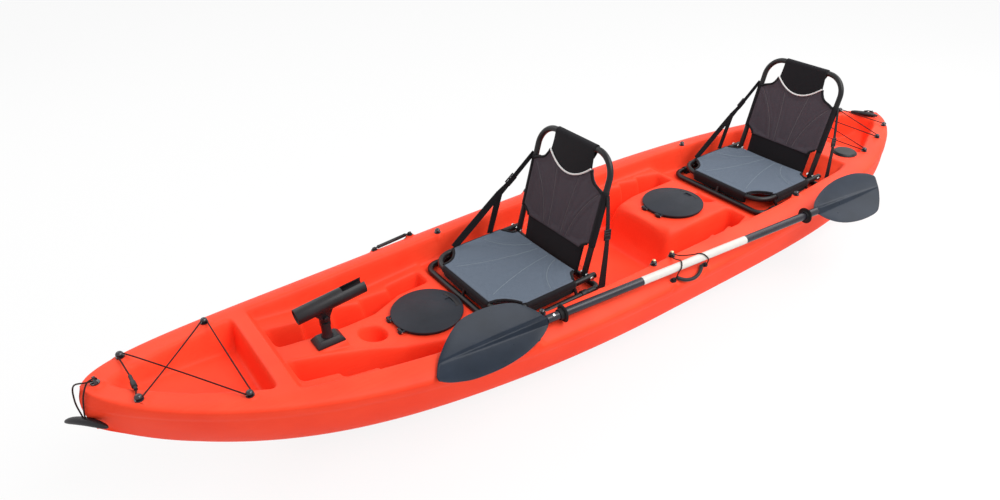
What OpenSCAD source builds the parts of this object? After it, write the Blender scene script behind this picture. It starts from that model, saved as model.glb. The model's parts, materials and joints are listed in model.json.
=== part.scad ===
// Tandem sit-on-top kayak with two folding frame seats, two deck hatches, rod holders,
// lashing cords and a stowed two-piece paddle. Millimetres, +X to the stern, +Z up.
// The origin is on the flat of the keel, amidships.

/* [Hull] */
// Length over all of the hull
hull_l = 3700; // [3500:10:4000]
// Widest beam of the hull
hull_beam = 860; // [820:5:920]
// Height of the outer gunwale edge amidships
edge_mid = 294; // [280:1:310]
// Height of the outer gunwale edge at the bow
edge_bow = 492; // [460:1:520]
// Height of the outer gunwale edge at the stern
edge_stern = 297; // [285:1:310]
// Height of the gunwale crown amidships
crown_mid = 335; // [325:1:350]
// Height of the gunwale crown at the bow
crown_bow = 496; // [480:1:530]
// Height of the gunwale crown at the stern
crown_stern = 306; // [300:1:325]
// Width of the gunwale from its outer edge to its inner lip, amidships
gunwale_w = 108; // [95:1:120]
// Rise of the keel line at the stem
bow_rise = 350; // [300:5:380]
// Rise of the keel line at the stern
stern_rise = 124; // [90:1:160]
// Width of the flat keel strip that the boat stands on
keel_w = 120; // [80:2:160]
// Wall of the moulded shell
wall = 5; // [4:0.5:7]
// Diameter of the self-draining holes
scupper_d = 30; // [24:1:36]

/* [Deck] */
// Height of the deck under the front hatch
front_hatch_deck = 262; // [256:1:268]
// Height of the deck under the front seat
front_seat_deck = 251; // [244:1:255]
// Height of the deck under the rear hatch
rear_hatch_deck = 278; // [270:1:284]
// Height of the deck under the rear seat
rear_seat_deck = 225; // [218:1:232]
// Height of the footwell floors
footwell_floor = 110; // [95:1:130]
// Depth of the moulded foot braces in the footwell walls
brace_depth = 26; // [16:1:30]
// Depth of the bow well at its rear wall
bow_well_depth = 92; // [70:1:110]
// Height of the stern well floor
stern_well_floor = 195; // [180:1:220]
// Diameter of the cup recesses
cup_d = 86; // [76:1:92]
// Depth of the cup recesses
cup_depth = 62; // [45:1:75]

/* [Hatches] */
// Station of the front hatch
front_hatch_x = -836; // [-845:1:-825]
// Station of the rear hatch
rear_hatch_x = 354; // [340:1:360]
// Diameter of the hatch lids
lid_d = 247; // [236:1:252]
// Thickness of the hatch lids at the rim
lid_t = 8; // [6:0.5:10]
// Clear opening of the hatch rims
hatch_bore = 196; // [180:1:204]

/* [Seats] */
// Station of the front seat's back hinge
front_seat_x = -301; // [-306:1:-296]
// Station of the rear seat's back hinge
rear_seat_x = 1024; // [1016:1:1030]
// Diameter of the seat tubing
tube_d = 22; // [20:0.5:24]
// Wall of the seat tubing
tube_wall = 1.5; // [1.2:0.1:2.5]
// Height of the base tube centre above the deck
base_h = 14; // [13:0.5:16]
// Height of the seat tube centre above the base tube centre
seat_rise = 40; // [36:1:46]
// Half width of the seat frame at its tube centres
seat_half_w = 217; // [212:1:222]
// Length of the seat frame ahead of the hinge
seat_depth = 375; // [360:1:380]
// Half width of the back frame at its tube centres
back_half_w = 190; // [184:1:191]
// Height of the back frame above the hinge
back_h = 430; // [400:2:450]
// Recline of the back from upright
recline = 15; // [10:1:20]
// Diameter of the hinge bolts
hinge_bolt_d = 8; // [6:0.5:9]
// Thickness of the fabric panels at their edges
sling_t = 10; // [8:0.5:12]
// Width of the seat webbing
strap_w = 25; // [20:1:30]

/* [Paddle] */
// Diameter of the paddle shaft
shaft_d = 29; // [27:0.5:31]
// Length of the paddle
paddle_l = 2056; // [2020:4:2100]
// Length of each blade
blade_l = 400; // [390:2:420]
// Width of each blade
blade_w = 196; // [184:2:206]
// Length of the pale centre sleeve
sleeve_l = 482; // [460:2:520]

/* [Fittings] */
// Diameter of the lashing cords
cord_d = 5; // [4:0.5:6]
// Bore of the rod cradle
rod_bore = 42; // [38:1:44]
// Tilt of the rod cradle
rod_tilt = 6; // [0:1:30]
// Length of the side handles between their anchors
handle_l = 160; // [150:2:180]

/* [Hidden] */
$fn = 48;
half_l = hull_l / 2;
running = 0.05;   // radial clearance of a turning fit
gap = 0.3;        // clearance between neighbouring pieces
above = 800;      // height that open cuts reach up to

orange = [0.93, 0.27, 0.16];
black = [0.09, 0.09, 0.10];
charcoal = [0.22, 0.24, 0.26];
slate = [0.25, 0.29, 0.34];
fabric_seat = [0.36, 0.42, 0.46];
fabric_back = [0.29, 0.27, 0.29];
white = [0.93, 0.93, 0.92];

// Lines of the hull
// Share of the half length at a station, a little short of 1 so that both ends stay blunt
function share(x) = min(0.998, abs(x) / half_l);
function half_beam(x) = x < 0
  ? hull_beam / 2 * pow(1 - pow(share(x), 2.34), 0.60)
  : hull_beam / 2 * pow(1 - pow(share(x), 2.64), 0.65);
function edge_z(x) = edge_mid + ((x < 0 ? edge_bow : edge_stern) - edge_mid) * pow(share(x), 3.1);
function crown_z(x) = x < 0
  ? crown_mid + (crown_bow - crown_mid) * pow(share(x), 3.7)
  : crown_mid + (crown_stern - crown_mid) * share(x);
function keel_z(x) = x < 0
  ? bow_rise * pow(max(0, (share(x) - 0.4) / 0.6), 3.4)
  : stern_rise * pow(max(0, (share(x) - 0.4) / 0.6), 2.66);
// How far the side leans in, and how full the bilge is
function flare(x) = 0.27 + (x < 0 ? 0.48 : -0.40) * pow(share(x), 2);
function bilge(x) = 7.6 - (x < 0 ? 6.2 : 3.3) * pow(share(x), 2);
// Width of the gunwale top at a station, narrowing with the beam
function lip(x) = gunwale_w * pow(2 * half_beam(x) / hull_beam, 1.3);
// Height of the gunwale top at a distance in from its outer edge
function rail_z(x, inset) = let (e = edge_z(x), c = crown_z(x))
  lookup(inset / lip(x), [[0, e], [0.3, e * 0.45 + c * 0.55], [0.65, e * 0.08 + c * 0.92], [1, c]]);

side_steps = [0.985, 0.94, 0.86, 0.72, 0.5, 0.25, 0];
void_side_steps = [0.985, 0.88, 0.6, 0];
rail_steps = [0.3, 0.65, 1];
function side_y(x, w) = half_beam(x) * (1 - flare(x) * w) * sqrt(max(0, 1 - pow(w, bilge(x))));
function half_ring(x, inset) = concat(
  [[min(keel_w / 2, 0.8 * side_y(x, side_steps[0])), keel_z(x) + inset]],
  [for (w = inset > 0 ? void_side_steps : side_steps)
    [max(1, side_y(x, w) - inset), edge_z(x) - inset * (1 - w) + (keel_z(x) + inset - edge_z(x)) * w]],
  [for (r = rail_steps) [max(0.8 - 0.2 * r, half_beam(x) - lip(x) * r), rail_z(x, lip(x) * r) - inset]]);
function ring(x, inset) = let (h = half_ring(x, inset), n = len(h) - 1)
  concat([for (p = h) [x, p[0], p[1]]], [for (i = [n:-1:0]) [x, -h[i][0], h[i][1]]]);

// Solid through a list of rings that have the same number of points
module loft(rings) {
  n = len(rings[0]);
  last = len(rings) - 1;
  sides = [for (i = [0:last - 1], j = [0:n - 1]) let (k = (j + 1) % n)
    each [[i * n + j, (i + 1) * n + j, i * n + k], [i * n + k, (i + 1) * n + j, (i + 1) * n + k]]];
  caps = [[for (j = [0:n - 1]) j], [for (j = [n - 1:-1:0]) last * n + j]];
  polyhedron([for (r = rings) each r], concat(sides, caps), convexity = 6);
}
module skin(stations, inset) loft([for (x = stations) ring(x, inset)]);

hull_steps = 32;
hull_stations = [for (i = [0:hull_steps]) -half_l * cos(180 * i / hull_steps)];
void_steps = 20;
void_end = 45;
void_stations = [for (i = [0:void_steps]) -(half_l - void_end) * cos(180 * i / void_steps)];

// A deck recess: straight-walled stretches between cross sections
// Each section is [x, first top y, first floor y, second floor y, second top y, floor z]
function section(s, x, grow) = let (low = s[5] - grow, lip_z = max(low + 1, crown_z(s[0]) + 4))
  [[x, s[1] - grow, above], [x, s[1] - grow, lip_z], [x, s[2] - grow, low],
    [x, s[3] + grow, low], [x, s[4] + grow, lip_z], [x, s[4] + grow, above]];
module recess(sections, grow) {
  last = len(sections) - 1;
  loft([for (i = [0:last]) section(sections[i],
    sections[i][0] + (i == 0 ? -grow : i == last ? grow : 0), grow)]);
}
function both_sides(x, top, floor_y, z) = [x, -top, -floor_y, floor_y, top, z];

// Bow well, between a narrow nose and a steep rear wall
bow_well_aft = 425;
well_margin = 82;
function bow_well_section(d, depth) = let (x = -half_l + d, top = max(6, half_beam(x) - well_margin))
  both_sides(x, top, max(3, top - 24), crown_z(x) - depth);
module bow_well(grow) recess([
  bow_well_section(72, 12), bow_well_section(110, 48), bow_well_section(240, 70),
  bow_well_section(bow_well_aft - 25, bow_well_depth),
  bow_well_section(bow_well_aft, bow_well_depth)], grow);

// The sunken deck between the gunwale lips, from the front ridge to the stern deck
ridge_x = -half_l + 492;
front_seat_start = front_seat_x - seat_depth - 36;
front_seat_end = front_seat_x + 76;
rear_seat_start = rear_seat_x - seat_depth - 40;
rear_seat_end = rear_seat_x + 60;
stern_deck_x = rear_seat_x + 150;
console_rise = 78;
deck_wall = 18;
function deck_section(x, z) = let (top = half_beam(x) - lip(x) - 2) both_sides(x, top, top - deck_wall, z);
deck_line = [
  [ridge_x, front_hatch_deck + console_rise + 14],
  [ridge_x + 22, front_hatch_deck + console_rise],
  [front_hatch_x - lid_d / 2 - 16, front_hatch_deck],
  [front_seat_start, front_hatch_deck],
  [front_seat_start + 12, front_seat_deck],
  [front_seat_end, front_seat_deck],
  [front_seat_end + 12, front_hatch_deck],
  [rear_hatch_x - 250, rear_hatch_deck],
  [rear_hatch_x + 165, rear_hatch_deck],
  [rear_seat_start, rear_seat_deck],
  [rear_seat_end, rear_seat_deck],
  [stern_deck_x, crown_z(stern_deck_x) - 6]];
module sunken_deck(grow) recess([for (p = deck_line) deck_section(p[0], p[1])], grow);

// Footwells: foot braces step the outer wall, the console bounds the inner one
brace_margin = 150;
footwell_draft = 22;
front_braces = 4;
front_brace_pitch = 115;
front_well_x = ridge_x + 28;
front_well_aft = front_hatch_x + 92;
console_line = [[front_well_x, 42], [front_well_x + 180, 62], [front_well_x + 330, 92],
  [front_hatch_x - 96, 140], [front_hatch_x, lid_d / 2 + 34], [front_well_aft + 20, lid_d / 2 + 28]];
heel_line = [[front_well_x, footwell_floor + 30], [front_well_x + 60, footwell_floor],
  [front_well_x + 260, footwell_floor], [front_well_aft, footwell_floor + 80]];
function outer_wall(x, brace) = half_beam(x) - brace_margin - brace;
function well_section(x, inner, brace, z) = let (outer = outer_wall(x, brace))
  [x, inner, min(inner + footwell_draft, outer - 40), outer - footwell_draft, outer, z];
function front_well_section(x, brace) =
  well_section(x, lookup(x, console_line), brace, lookup(x, heel_line));
module front_footwell(grow) {
  for (i = [0:front_braces - 1]) {
    x = front_well_x + i * front_brace_pitch;
    recess([front_well_section(x, 0), front_well_section(x + front_brace_pitch, brace_depth)], grow);
  }
  x = front_well_x + front_braces * front_brace_pitch;
  recess([front_well_section(x, 0), front_well_section(front_well_aft, 0)], grow);
}

rear_braces = 4;
rear_brace_pitch = 100;
rear_well_x = front_seat_end + 16;
rear_console_x = rear_hatch_x - 244;
rear_console_w = lid_d / 2 + 32;
function rear_well_section(x, z) = let (top = half_beam(x) - brace_margin)
  both_sides(x, top, top - footwell_draft, z);
function rear_leg_section(x, brace) = well_section(x, rear_console_w, brace, footwell_floor);
module rear_footwell(grow) recess([
  rear_well_section(rear_well_x, footwell_floor + 70),
  rear_well_section(rear_well_x + 70, footwell_floor),
  rear_well_section(rear_console_x + 13, footwell_floor),
  both_sides(rear_console_x + 50, 205, 190, footwell_floor + 60)], grow);
module rear_leg(grow) for (i = [0:rear_braces - 1]) {
  x = rear_console_x + i * rear_brace_pitch;
  recess([rear_leg_section(x, 0), rear_leg_section(x + rear_brace_pitch, brace_depth)], grow);
}

// Stern well
stern_well_x = half_l - 515;
stern_well_aft = half_l - 105;
function stern_well_section(x, z) = let (top = half_beam(x) - well_margin + 4)
  both_sides(x, top, top - 30, z);
module stern_well(grow) recess([
  stern_well_section(stern_well_x, crown_z(stern_well_x) - 50),
  stern_well_section(stern_well_x + 30, stern_well_floor),
  stern_well_section(stern_well_aft - 60, stern_well_floor),
  stern_well_section(stern_well_aft, stern_well_floor + 40)], grow);

module mirrored() {
  children();
  mirror([0, 1, 0]) children();
}

front_cup = [front_hatch_x - 204, 0, front_hatch_deck + 10];
rear_cup = [rear_hatch_x + 164, -37, rear_hatch_deck];
module cups(grow) for (c = [front_cup, rear_cup])
  translate([c.x, c.y, c.z - cup_depth - grow])
    cylinder(d1 = cup_d - 14 + 2 * grow, d2 = cup_d + 2 * grow, h = cup_depth + 60, $fn = 24);

module deck_recesses(grow) {
  bow_well(grow);
  sunken_deck(grow);
  mirrored() front_footwell(grow);
  rear_footwell(grow);
  mirrored() rear_leg(grow);
  stern_well(grow);
  cups(grow);
}

// Self-draining holes, in the footwells and in the stern well
scuppers = [[front_well_x + 190, 125], [rear_well_x + 150, 120], [stern_well_x + 190, 70]];
module scupper_holes(grow) mirrored() for (s = scuppers)
  translate([s.x, s.y, -1]) cylinder(d = scupper_d + 2 * grow, h = above, $fn = 16);

// Flat bosses that the fittings stand on, each [x, y, top z, radius]
eyelet_r = 12;
boss_h = 2;
boss_depth = 16;
function rail_boss(x, side, inset, r) = [x, side * (half_beam(x) - inset),
  rail_z(x - 0.7 * r, inset + 0.7 * r) + boss_h, r];
bow_front_x = -half_l + 113;
bow_rear_x = -half_l + 358;
front_rail_x = -593;
rear_rail_x = 741;
bow_fittings = concat([for (s = [1, -1]) rail_boss(bow_front_x, s, 27, eyelet_r)],
  [for (s = [1, -1]) rail_boss(bow_rear_x, s, 51, eyelet_r)]);
bow_tip = [-half_l + 36, 0, crown_z(-half_l + 36 - eyelet_r) + boss_h, eyelet_r];
stern_tip = [half_l - 50, 0, crown_z(half_l - 50) + boss_h, eyelet_r];
keeper_x = -14;
rail_fittings = concat([for (s = [1, -1]) rail_boss(front_rail_x, s, 96, eyelet_r)],
  [for (s = [1, -1]) rail_boss(rear_rail_x, s, 96, eyelet_r)],
  [rail_boss(keeper_x, -1, 100, eyelet_r), rail_boss(keeper_x - 90, -1, 100, eyelet_r)]);
stern_fittings = [for (p = [[half_l - 492, 62], [half_l - 300, 46], [half_l - 139, 26]], s = [1, -1])
  rail_boss(p.x, s, p.y, eyelet_r)];

// Side handles, two a side, on the sloping outer gunwale
handle_x = [-752, keeper_x];
handle_inset = 14;
anchor_r = 11;
function handle_end(x, side, e) = rail_boss(x + e * handle_l / 2, side, handle_inset, anchor_r);
function handle_yaw(x, side) = let (v = handle_end(x, side, 1) - handle_end(x, side, -1)) atan2(v.y, v.x);
function handle_mid(x, side) = let (a = handle_end(x, side, 1), b = handle_end(x, side, -1))
  [x, (a.y + b.y) / 2, (a.z + b.z) / 2];
function handle_boss(x, side, e) = let (m = handle_mid(x, side), w = handle_yaw(x, side))
  [m.x + e * handle_l / 2 * cos(w), m.y + e * handle_l / 2 * sin(w), m.z, anchor_r];
module at_handle(x, side) translate(handle_mid(x, side)) rotate([0, 0, handle_yaw(x, side)]) children();
handle_bosses = [for (x = handle_x, s = [1, -1], e = [1, -1]) handle_boss(x, s, e)];

flush_x = half_l - 580;
flush_y = 190;
flush_tilt = 28;
flush_d = 48;
flush_flange = 104;
flush_z = crown_z(flush_x - flush_flange / 2) + boss_h;
rod_foot = [92, 62];
rod_x = ridge_x + 168;
rod_y = 0;
rod_z = lookup(rod_x - rod_foot.x / 2 - 3, deck_line);

fittings = concat(bow_fittings, rail_fittings, stern_fittings, handle_bosses, [bow_tip, stern_tip]);
module bosses() {
  for (b = fittings) translate([b.x, b.y, b.z - boss_depth])
    cylinder(r1 = b[3] - 6, r2 = b[3] + 2, h = boss_depth, $fn = 12);
  mirrored() translate([flush_x, flush_y, flush_z - boss_depth])
    cylinder(r1 = flush_flange / 2 + 8, r2 = flush_flange / 2 + 4, h = boss_depth, $fn = 24);
  translate([rod_x - rod_foot.x / 2 - 3, rod_y - rod_foot.y / 2 - 3, rod_z - 2 * boss_depth])
    cube([rod_foot.x + 6, rod_foot.y + 6, 2 * boss_depth]);
}

module flush_axis() mirrored() translate([flush_x, flush_y, flush_z]) rotate([0, flush_tilt, 0]) children();

// The one shell is parted a hair wide between its wells, so that each bay is a plain solid
bay_gap = 0.2;
bay_ends = [bow_front_x + 117, bow_well_aft + 25 - half_l, front_cup.x - 58, front_hatch_x - 149,
  front_seat_start + 6, front_seat_end + 6, keeper_x + 34, rear_console_x + 60, rear_hatch_x,
  rear_cup.x - 40, rear_cup.x, rear_hatch_x + 221, flush_x - 70, stern_well_x + 105];
module bay_cuts() for (x = bay_ends)
  translate([x, -hull_beam, -wall]) cube([bay_gap, 2 * hull_beam, crown_bow + 2 * wall]);

module hull_shell() color(orange) difference() {
  union() {
    difference() {
      skin(hull_stations, 0);
      deck_recesses(0);
    }
    bosses();
  }
  difference() {
    skin(void_stations, wall);
    deck_recesses(wall);
    scupper_holes(wall);
  }
  scupper_holes(0);
  for (b = fittings) translate([b.x, b.y, b.z]) cylinder(r = b[3] + 2, h = 60, $fn = 12);
  for (h = hatches) translate([h.x, 0, h.y - 60]) cylinder(d = hatch_bore + 12, h = 120, $fn = 40);
  flush_axis() translate([0, 0, -140]) cylinder(d = flush_d + 2 * gap, h = 300, $fn = 20);
  bay_cuts();
}

hatches = [[front_hatch_x, front_hatch_deck], [rear_hatch_x, rear_hatch_deck]];

// Round bar between two points
module along(p, q) {
  v = q - p;
  translate(p) rotate([0, acos(v.z / norm(v)), atan2(v.y, v.x)]) children();
}
module bar(p, q, d) along(p, q) cylinder(d = d, h = norm(q - p));

// Round cord swept through a list of points
function unit(v) = v / norm(v);
function cord_tangent(pts, i) = unit(pts[min(i + 1, len(pts) - 1)] - pts[max(i - 1, 0)]);
module cord(pts, d, up, sides = 8) {
  n = len(pts);
  rings = [for (i = [0:n - 1]) let (t = cord_tangent(pts, i), a = unit(cross(t, up)), b = cross(a, t))
    for (j = [0:sides - 1]) pts[i] + d / 2 * (cos(360 * j / sides) * a + sin(360 * j / sides) * b)];
  walls = [for (i = [0:n - 2], j = [0:sides - 1]) let (k = (j + 1) % sides)
    each [[i * sides + j, i * sides + k, (i + 1) * sides + j],
      [i * sides + k, (i + 1) * sides + k, (i + 1) * sides + j]]];
  ends = [[for (j = [sides - 1:-1:0]) j], [for (j = [0:sides - 1]) (n - 1) * sides + j]];
  polyhedron(rings, concat(walls, ends), convexity = 4);
}
function xyz(v) = [v.x, v.y, v.z];
// The cord's way round the outside of a button, coming from a and going on to b
button_neck = 4.5;
wrap_r = button_neck + cord_d / 2 + 1;
wrap_h = 3 + cord_d / 2 + 2;
function round_button(a, c, b) = let (
    o = unit([2 * c.x - a.x - b.x, 2 * c.y - a.y - b.y, 0]),
    s = (a.x - c.x) * -o.y + (a.y - c.y) * o.x > 0 ? 1 : -1)
  [for (w = [100:-50:-100]) [c.x + wrap_r * (o.x * cos(w) - o.y * s * sin(w)),
    c.y + wrap_r * (o.y * cos(w) + o.x * s * sin(w)), c.z + wrap_h]];

// Mushroom button that a lashing cord hooks under
module button() {
  cylinder(r = eyelet_r, h = 3);
  cylinder(r = button_neck, h = wrap_h + cord_d);
  translate([0, 0, wrap_h + cord_d / 2 + gap]) difference() {
    translate([0, 0, -3]) sphere(r = 11);
    translate([0, 0, -20]) cylinder(r = 20, h = 20);
  }
}
module buttons(list) for (b = list) translate(xyz(b)) button();

// Pad eye with a cross pin that a toggle cord runs round
eye_pin_d = 6;
eye_pin_h = 12;
eye_gap = 15;
module pad_eye() {
  cylinder(r = eyelet_r, h = 3);
  for (s = [1, -1]) translate([-4, s * (eye_gap / 2 + 1.5) - 1.5, 3]) cube([8, 3, eye_pin_h]);
  translate([0, -eye_gap / 2 - 3, eye_pin_h]) rotate([-90, 0, 0]) cylinder(d = eye_pin_d, h = eye_gap + 6);
}

module drain_plug() color(black) translate([half_l, 0, crown_z(half_l) - 75]) rotate([0, 90, 0]) {
  cylinder(d = 24, h = 4);
  cylinder(d = 15, h = 8, $fn = 6);
}
module bow_eyelets() color(black) {
  buttons(bow_fittings);
  translate(xyz(bow_tip)) pad_eye();
}
module gunwale_eyelets() color(black) buttons(rail_fittings);
module stern_eyelets() color(black) {
  buttons(stern_fittings);
  translate(xyz(stern_tip)) pad_eye();
}

// Lashing over the bow well: a loop closed by a plastic hook
bow_a = bow_fittings[0];
bow_c = bow_fittings[1];
bow_b = bow_fittings[2];
bow_d = bow_fittings[3];
hook_l = 66;
hook_d = 10;
hook_from = xyz(bow_c) + [2, 34, wrap_h];
hook_to = hook_from + [0, hook_l, 0];
cross_step = [0, 0, cord_d / 2 + 1];
function half_way(a, b) = (xyz(a) + xyz(b)) / 2 + [0, 0, wrap_h];
module bow_bungee() color(black) cord(concat(
  [hook_to + [0, 3 * gap, 0]],
  round_button(hook_to, bow_a, bow_d),
  [half_way(bow_a, bow_d) + cross_step],
  round_button(bow_a, bow_d, bow_b),
  round_button(bow_d, bow_b, bow_c),
  [half_way(bow_b, bow_c) - cross_step],
  round_button(bow_b, bow_c, hook_from),
  [hook_from - [0, 3 * gap, 0]]), cord_d, [0, 0, 1]);
module bungee_hook() color(black) {
  bar(hook_from, hook_to, hook_d);
  bar(hook_from + [0, hook_l * 0.2, 0], hook_from + [0, hook_l * 0.55, 0], hook_d + 5);
}
stern_route = [stern_fittings[5], stern_fittings[4], stern_fittings[3], stern_fittings[2], stern_fittings[1],
  stern_fittings[0]];
module stern_bungee() color(black) cord(concat(
  [xyz(stern_route[0]) + [wrap_r, -wrap_r, wrap_h], xyz(stern_route[0]) + [wrap_r, 0, wrap_h]],
  [for (i = [1:4]) each round_button(stern_route[i - 1], stern_route[i], stern_route[i + 1])],
  [xyz(stern_route[5]) + [-wrap_r, 0, wrap_h], xyz(stern_route[5]) + [-wrap_r, wrap_r, wrap_h]]),
  cord_d, [0, 0, 1]);

// Carrying toggles on cords at both ends
toggle_l = 130;
toggle_d = 20;
cord_loop_r = eye_pin_d / 2 + cord_d / 2 + gap;
strand = cord_d / 2 + 0.6;
toggle_shape = [[0, -0.5], [0.28, -0.49], [0.4, -0.45], [0.5, -0.33],
  [0.5, 0.33], [0.4, 0.45], [0.28, 0.49], [0, 0.5]];
module toggle_bar(centre, way) along(centre, centre + way) rotate_extrude()
  polygon([for (s = toggle_shape) [s.x * toggle_d, s.y * toggle_l]]);
bow_pin = xyz(bow_tip) + [0, 0, eye_pin_h];
bow_toggle_at = bow_pin + [-56, 0, -115];
bow_toggle_way = [0.36, -0.92, 0.16];
bow_cord_low = bow_toggle_at + [0, 0, toggle_d / 2 + 4 * gap];
module bow_toggle() color(black) toggle_bar(bow_toggle_at, bow_toggle_way);
module bow_toggle_cord() color(black) cord(concat(
  [bow_cord_low + [0, -strand, 0], bow_pin + [-53, -strand, -50], bow_pin + [-46, -strand, 2]],
  [for (w = [110:-40:-90]) bow_pin + [cord_loop_r * cos(w), -strand * sin(w * 0.9), cord_loop_r * sin(w)]],
  [bow_pin + [-20, strand, -3], bow_pin + [-45, strand, -1], bow_pin + [-52, strand, -50],
    bow_cord_low + [4, strand, 0]]),
  cord_d, [0, 1, 0]);
stern_pin = xyz(stern_tip) + [0, 0, eye_pin_h];
stern_toggle_at = stern_pin + [-42, 14, toggle_d / 2 + 5 * gap - eye_pin_h - boss_h];
stern_toggle_way = [0.4, -0.92, 0];
module stern_toggle() color(black) toggle_bar(stern_toggle_at, stern_toggle_way);
stern_cord_low = stern_toggle_at + [0, 0, toggle_d / 2 + cord_d / 2 + gap];
module stern_toggle_cord() color(black) cord(concat(
  [stern_cord_low + [-3, -strand, 0], stern_cord_low + [12, -strand, 1], stern_pin + [-14, -strand, 9]],
  [for (w = [110:-40:-90]) stern_pin + [cord_loop_r * cos(w), -strand * sin(w * 0.9), cord_loop_r * sin(w)]],
  [stern_pin + [-13, strand, -2], stern_cord_low + [12, strand, -2], stern_cord_low + [-1, strand, 0]]),
  cord_d, [0, 1, 0]);

// Side handles: a grip swings between two bored lugs
lug = [10, 11];
lug_pin_d = 6;
grip_bow = 28;
grip_d = 13;
grip_drop = 36;
lug_pin_h = 7;
module handle_anchor() difference() {
  union() {
    cylinder(r = anchor_r, h = 3);
    translate([-lug.x / 2, -lug.y / 2, 0]) cube([lug.x, lug.y, lug_pin_h]);
    translate([-lug.x / 2, 0, lug_pin_h]) rotate([0, 90, 0]) cylinder(d = lug.y, h = lug.x);
  }
  translate([-lug.x, 0, lug_pin_h]) rotate([0, 90, 0]) cylinder(d = lug_pin_d + 2 * running, h = 2 * lug.x);
}
module handle_anchors() color(black) for (x = handle_x, s = [1, -1], e = [1, -1])
  at_handle(x, s) translate([e * handle_l / 2, 0, 0]) handle_anchor();
grip_start = anchor_r + 2 + gap + grip_d * 0.36;
grip_half = handle_l / 2 - grip_start;
grip_r = (grip_half * grip_half + grip_bow * grip_bow) / (2 * grip_bow);
grip_turn = asin(grip_half / grip_r);
module grip(x, side) color(black) at_handle(x, side) translate([0, 0, lug_pin_h]) {
  for (e = [-1, 1]) bar([e * (handle_l + lug.x) / 2, 0, 0], [e * (grip_half - 4), 0, 0], lug_pin_d);
  rotate([side > 0 ? -grip_drop : 180 + grip_drop, 0, 0]) translate([0, grip_bow - grip_r, 0])
    rotate([0, 0, 90 - grip_turn]) rotate_extrude(angle = 2 * grip_turn)
      translate([grip_r, 0]) circle(d = grip_d);
}
module port_front_grip() grip(handle_x[0], -1);
module port_rear_grip() grip(handle_x[1], -1);
module starboard_front_grip() grip(handle_x[0], 1);
module starboard_rear_grip() grip(handle_x[1], 1);

// Deck hatches: a flanged rim screwed to the deck, a hinged lid with a flush pull latch
rim_flange = 3;
rim_collar = 26;
gasket_d = 5;
hatch_pin_d = 5;
hinge_y = 38;
knuckle = 14;
lid_base = rim_flange + gasket_d * 0.8;
hatch_pin_x = -lid_d / 2 - 2;
hatch_pin_z = lid_base + 1;
latch_r = lid_d / 2 - 24;
latch_w = 44;
latch_t = 4;
module at_hatch(i) translate([hatches[i].x, 0, hatches[i].y]) children();
module hatch_pin_hole() translate([hatch_pin_x, -100, hatch_pin_z]) rotate([-90, 0, 0])
  cylinder(d = hatch_pin_d + 2 * running, h = 200);
module hatch_rim() difference() {
  union() {
    cylinder(d = lid_d - 8, h = rim_flange);
    translate([0, 0, -rim_collar]) cylinder(d = hatch_bore + 10, h = rim_collar);
    for (s = [1, -1]) translate([hatch_pin_x - 7, s * hinge_y - knuckle / 2, 0])
      cube([24, knuckle, rim_flange]);
    for (s = [1, -1]) translate([hatch_pin_x, s * hinge_y - knuckle / 2, hatch_pin_z]) rotate([-90, 0, 0]) {
      cylinder(d = 11, h = knuckle);
      translate([-5.5, 0, 0]) cube([11, hatch_pin_z - 1, knuckle]);
    }
  }
  translate([0, 0, -50]) cylinder(d = hatch_bore, h = 100);
  hatch_pin_hole();
}
module hatch_rims() color(black) for (i = [0, 1]) at_hatch(i) hatch_rim();
module hatch_gaskets() color([0.15, 0.15, 0.16]) for (i = [0, 1]) at_hatch(i)
  translate([0, 0, rim_flange]) rotate_extrude() translate([hatch_bore / 2 + 8, 0])
    square([gasket_d, gasket_d * 0.8 - gap]);
module hatch_hinge_pins() color("silver") for (i = [0, 1], s = [1, -1]) at_hatch(i)
  translate([hatch_pin_x, s * hinge_y - knuckle * 1.1, hatch_pin_z]) rotate([-90, 0, 0])
    cylinder(d = hatch_pin_d, h = knuckle * 2.2);
module latch_plan(grow) intersection() {
  difference() {
    circle(r = latch_r + latch_w / 3 + grow);
    circle(r = latch_r - 4 * grow);
  }
  translate([0, -latch_w - grow]) square([lid_d, 2 * latch_w + 2 * grow]);
}
module hatch_lid() difference() {
  union() {
    translate([0, 0, lid_base]) cylinder(d = lid_d, h = lid_t - 2);
    translate([0, 0, lid_base + lid_t - 2]) cylinder(d1 = lid_d, d2 = lid_d - 8, h = 2);
    for (s = [1, -1], e = [1, -1])
      translate([hatch_pin_x, s * hinge_y + e * (knuckle / 2 + gap) + min(e, 0) * 6, hatch_pin_z])
      rotate([-90, 0, 0]) {
      cylinder(d = 9, h = 6);
      translate([0, -3.5, 0]) cube([18, 4.5, 6]);
    }
  }
  for (s = [1, -1]) translate([hatch_pin_x - 8, s * hinge_y - knuckle / 2 - gap, 0])
    cube([14, knuckle + 2 * gap, 60]);
  hatch_pin_hole();
  translate([0, 0, lid_base + lid_t - latch_t - gap]) linear_extrude(20) latch_plan(gap);
  translate([latch_r - 20, -16, lid_base + lid_t - latch_t - gap]) cube([30, 32, 20]);
}
module hatch_latch() translate([0, 0, lid_base + lid_t - latch_t]) linear_extrude(latch_t) latch_plan(0);
module front_hatch_lid() color(charcoal) at_hatch(0) hatch_lid();
module rear_hatch_lid() color(charcoal) at_hatch(1) hatch_lid();
module front_hatch_latch() color(black) at_hatch(0) hatch_latch();
module rear_hatch_latch() color(black) at_hatch(1) hatch_latch();

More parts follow.
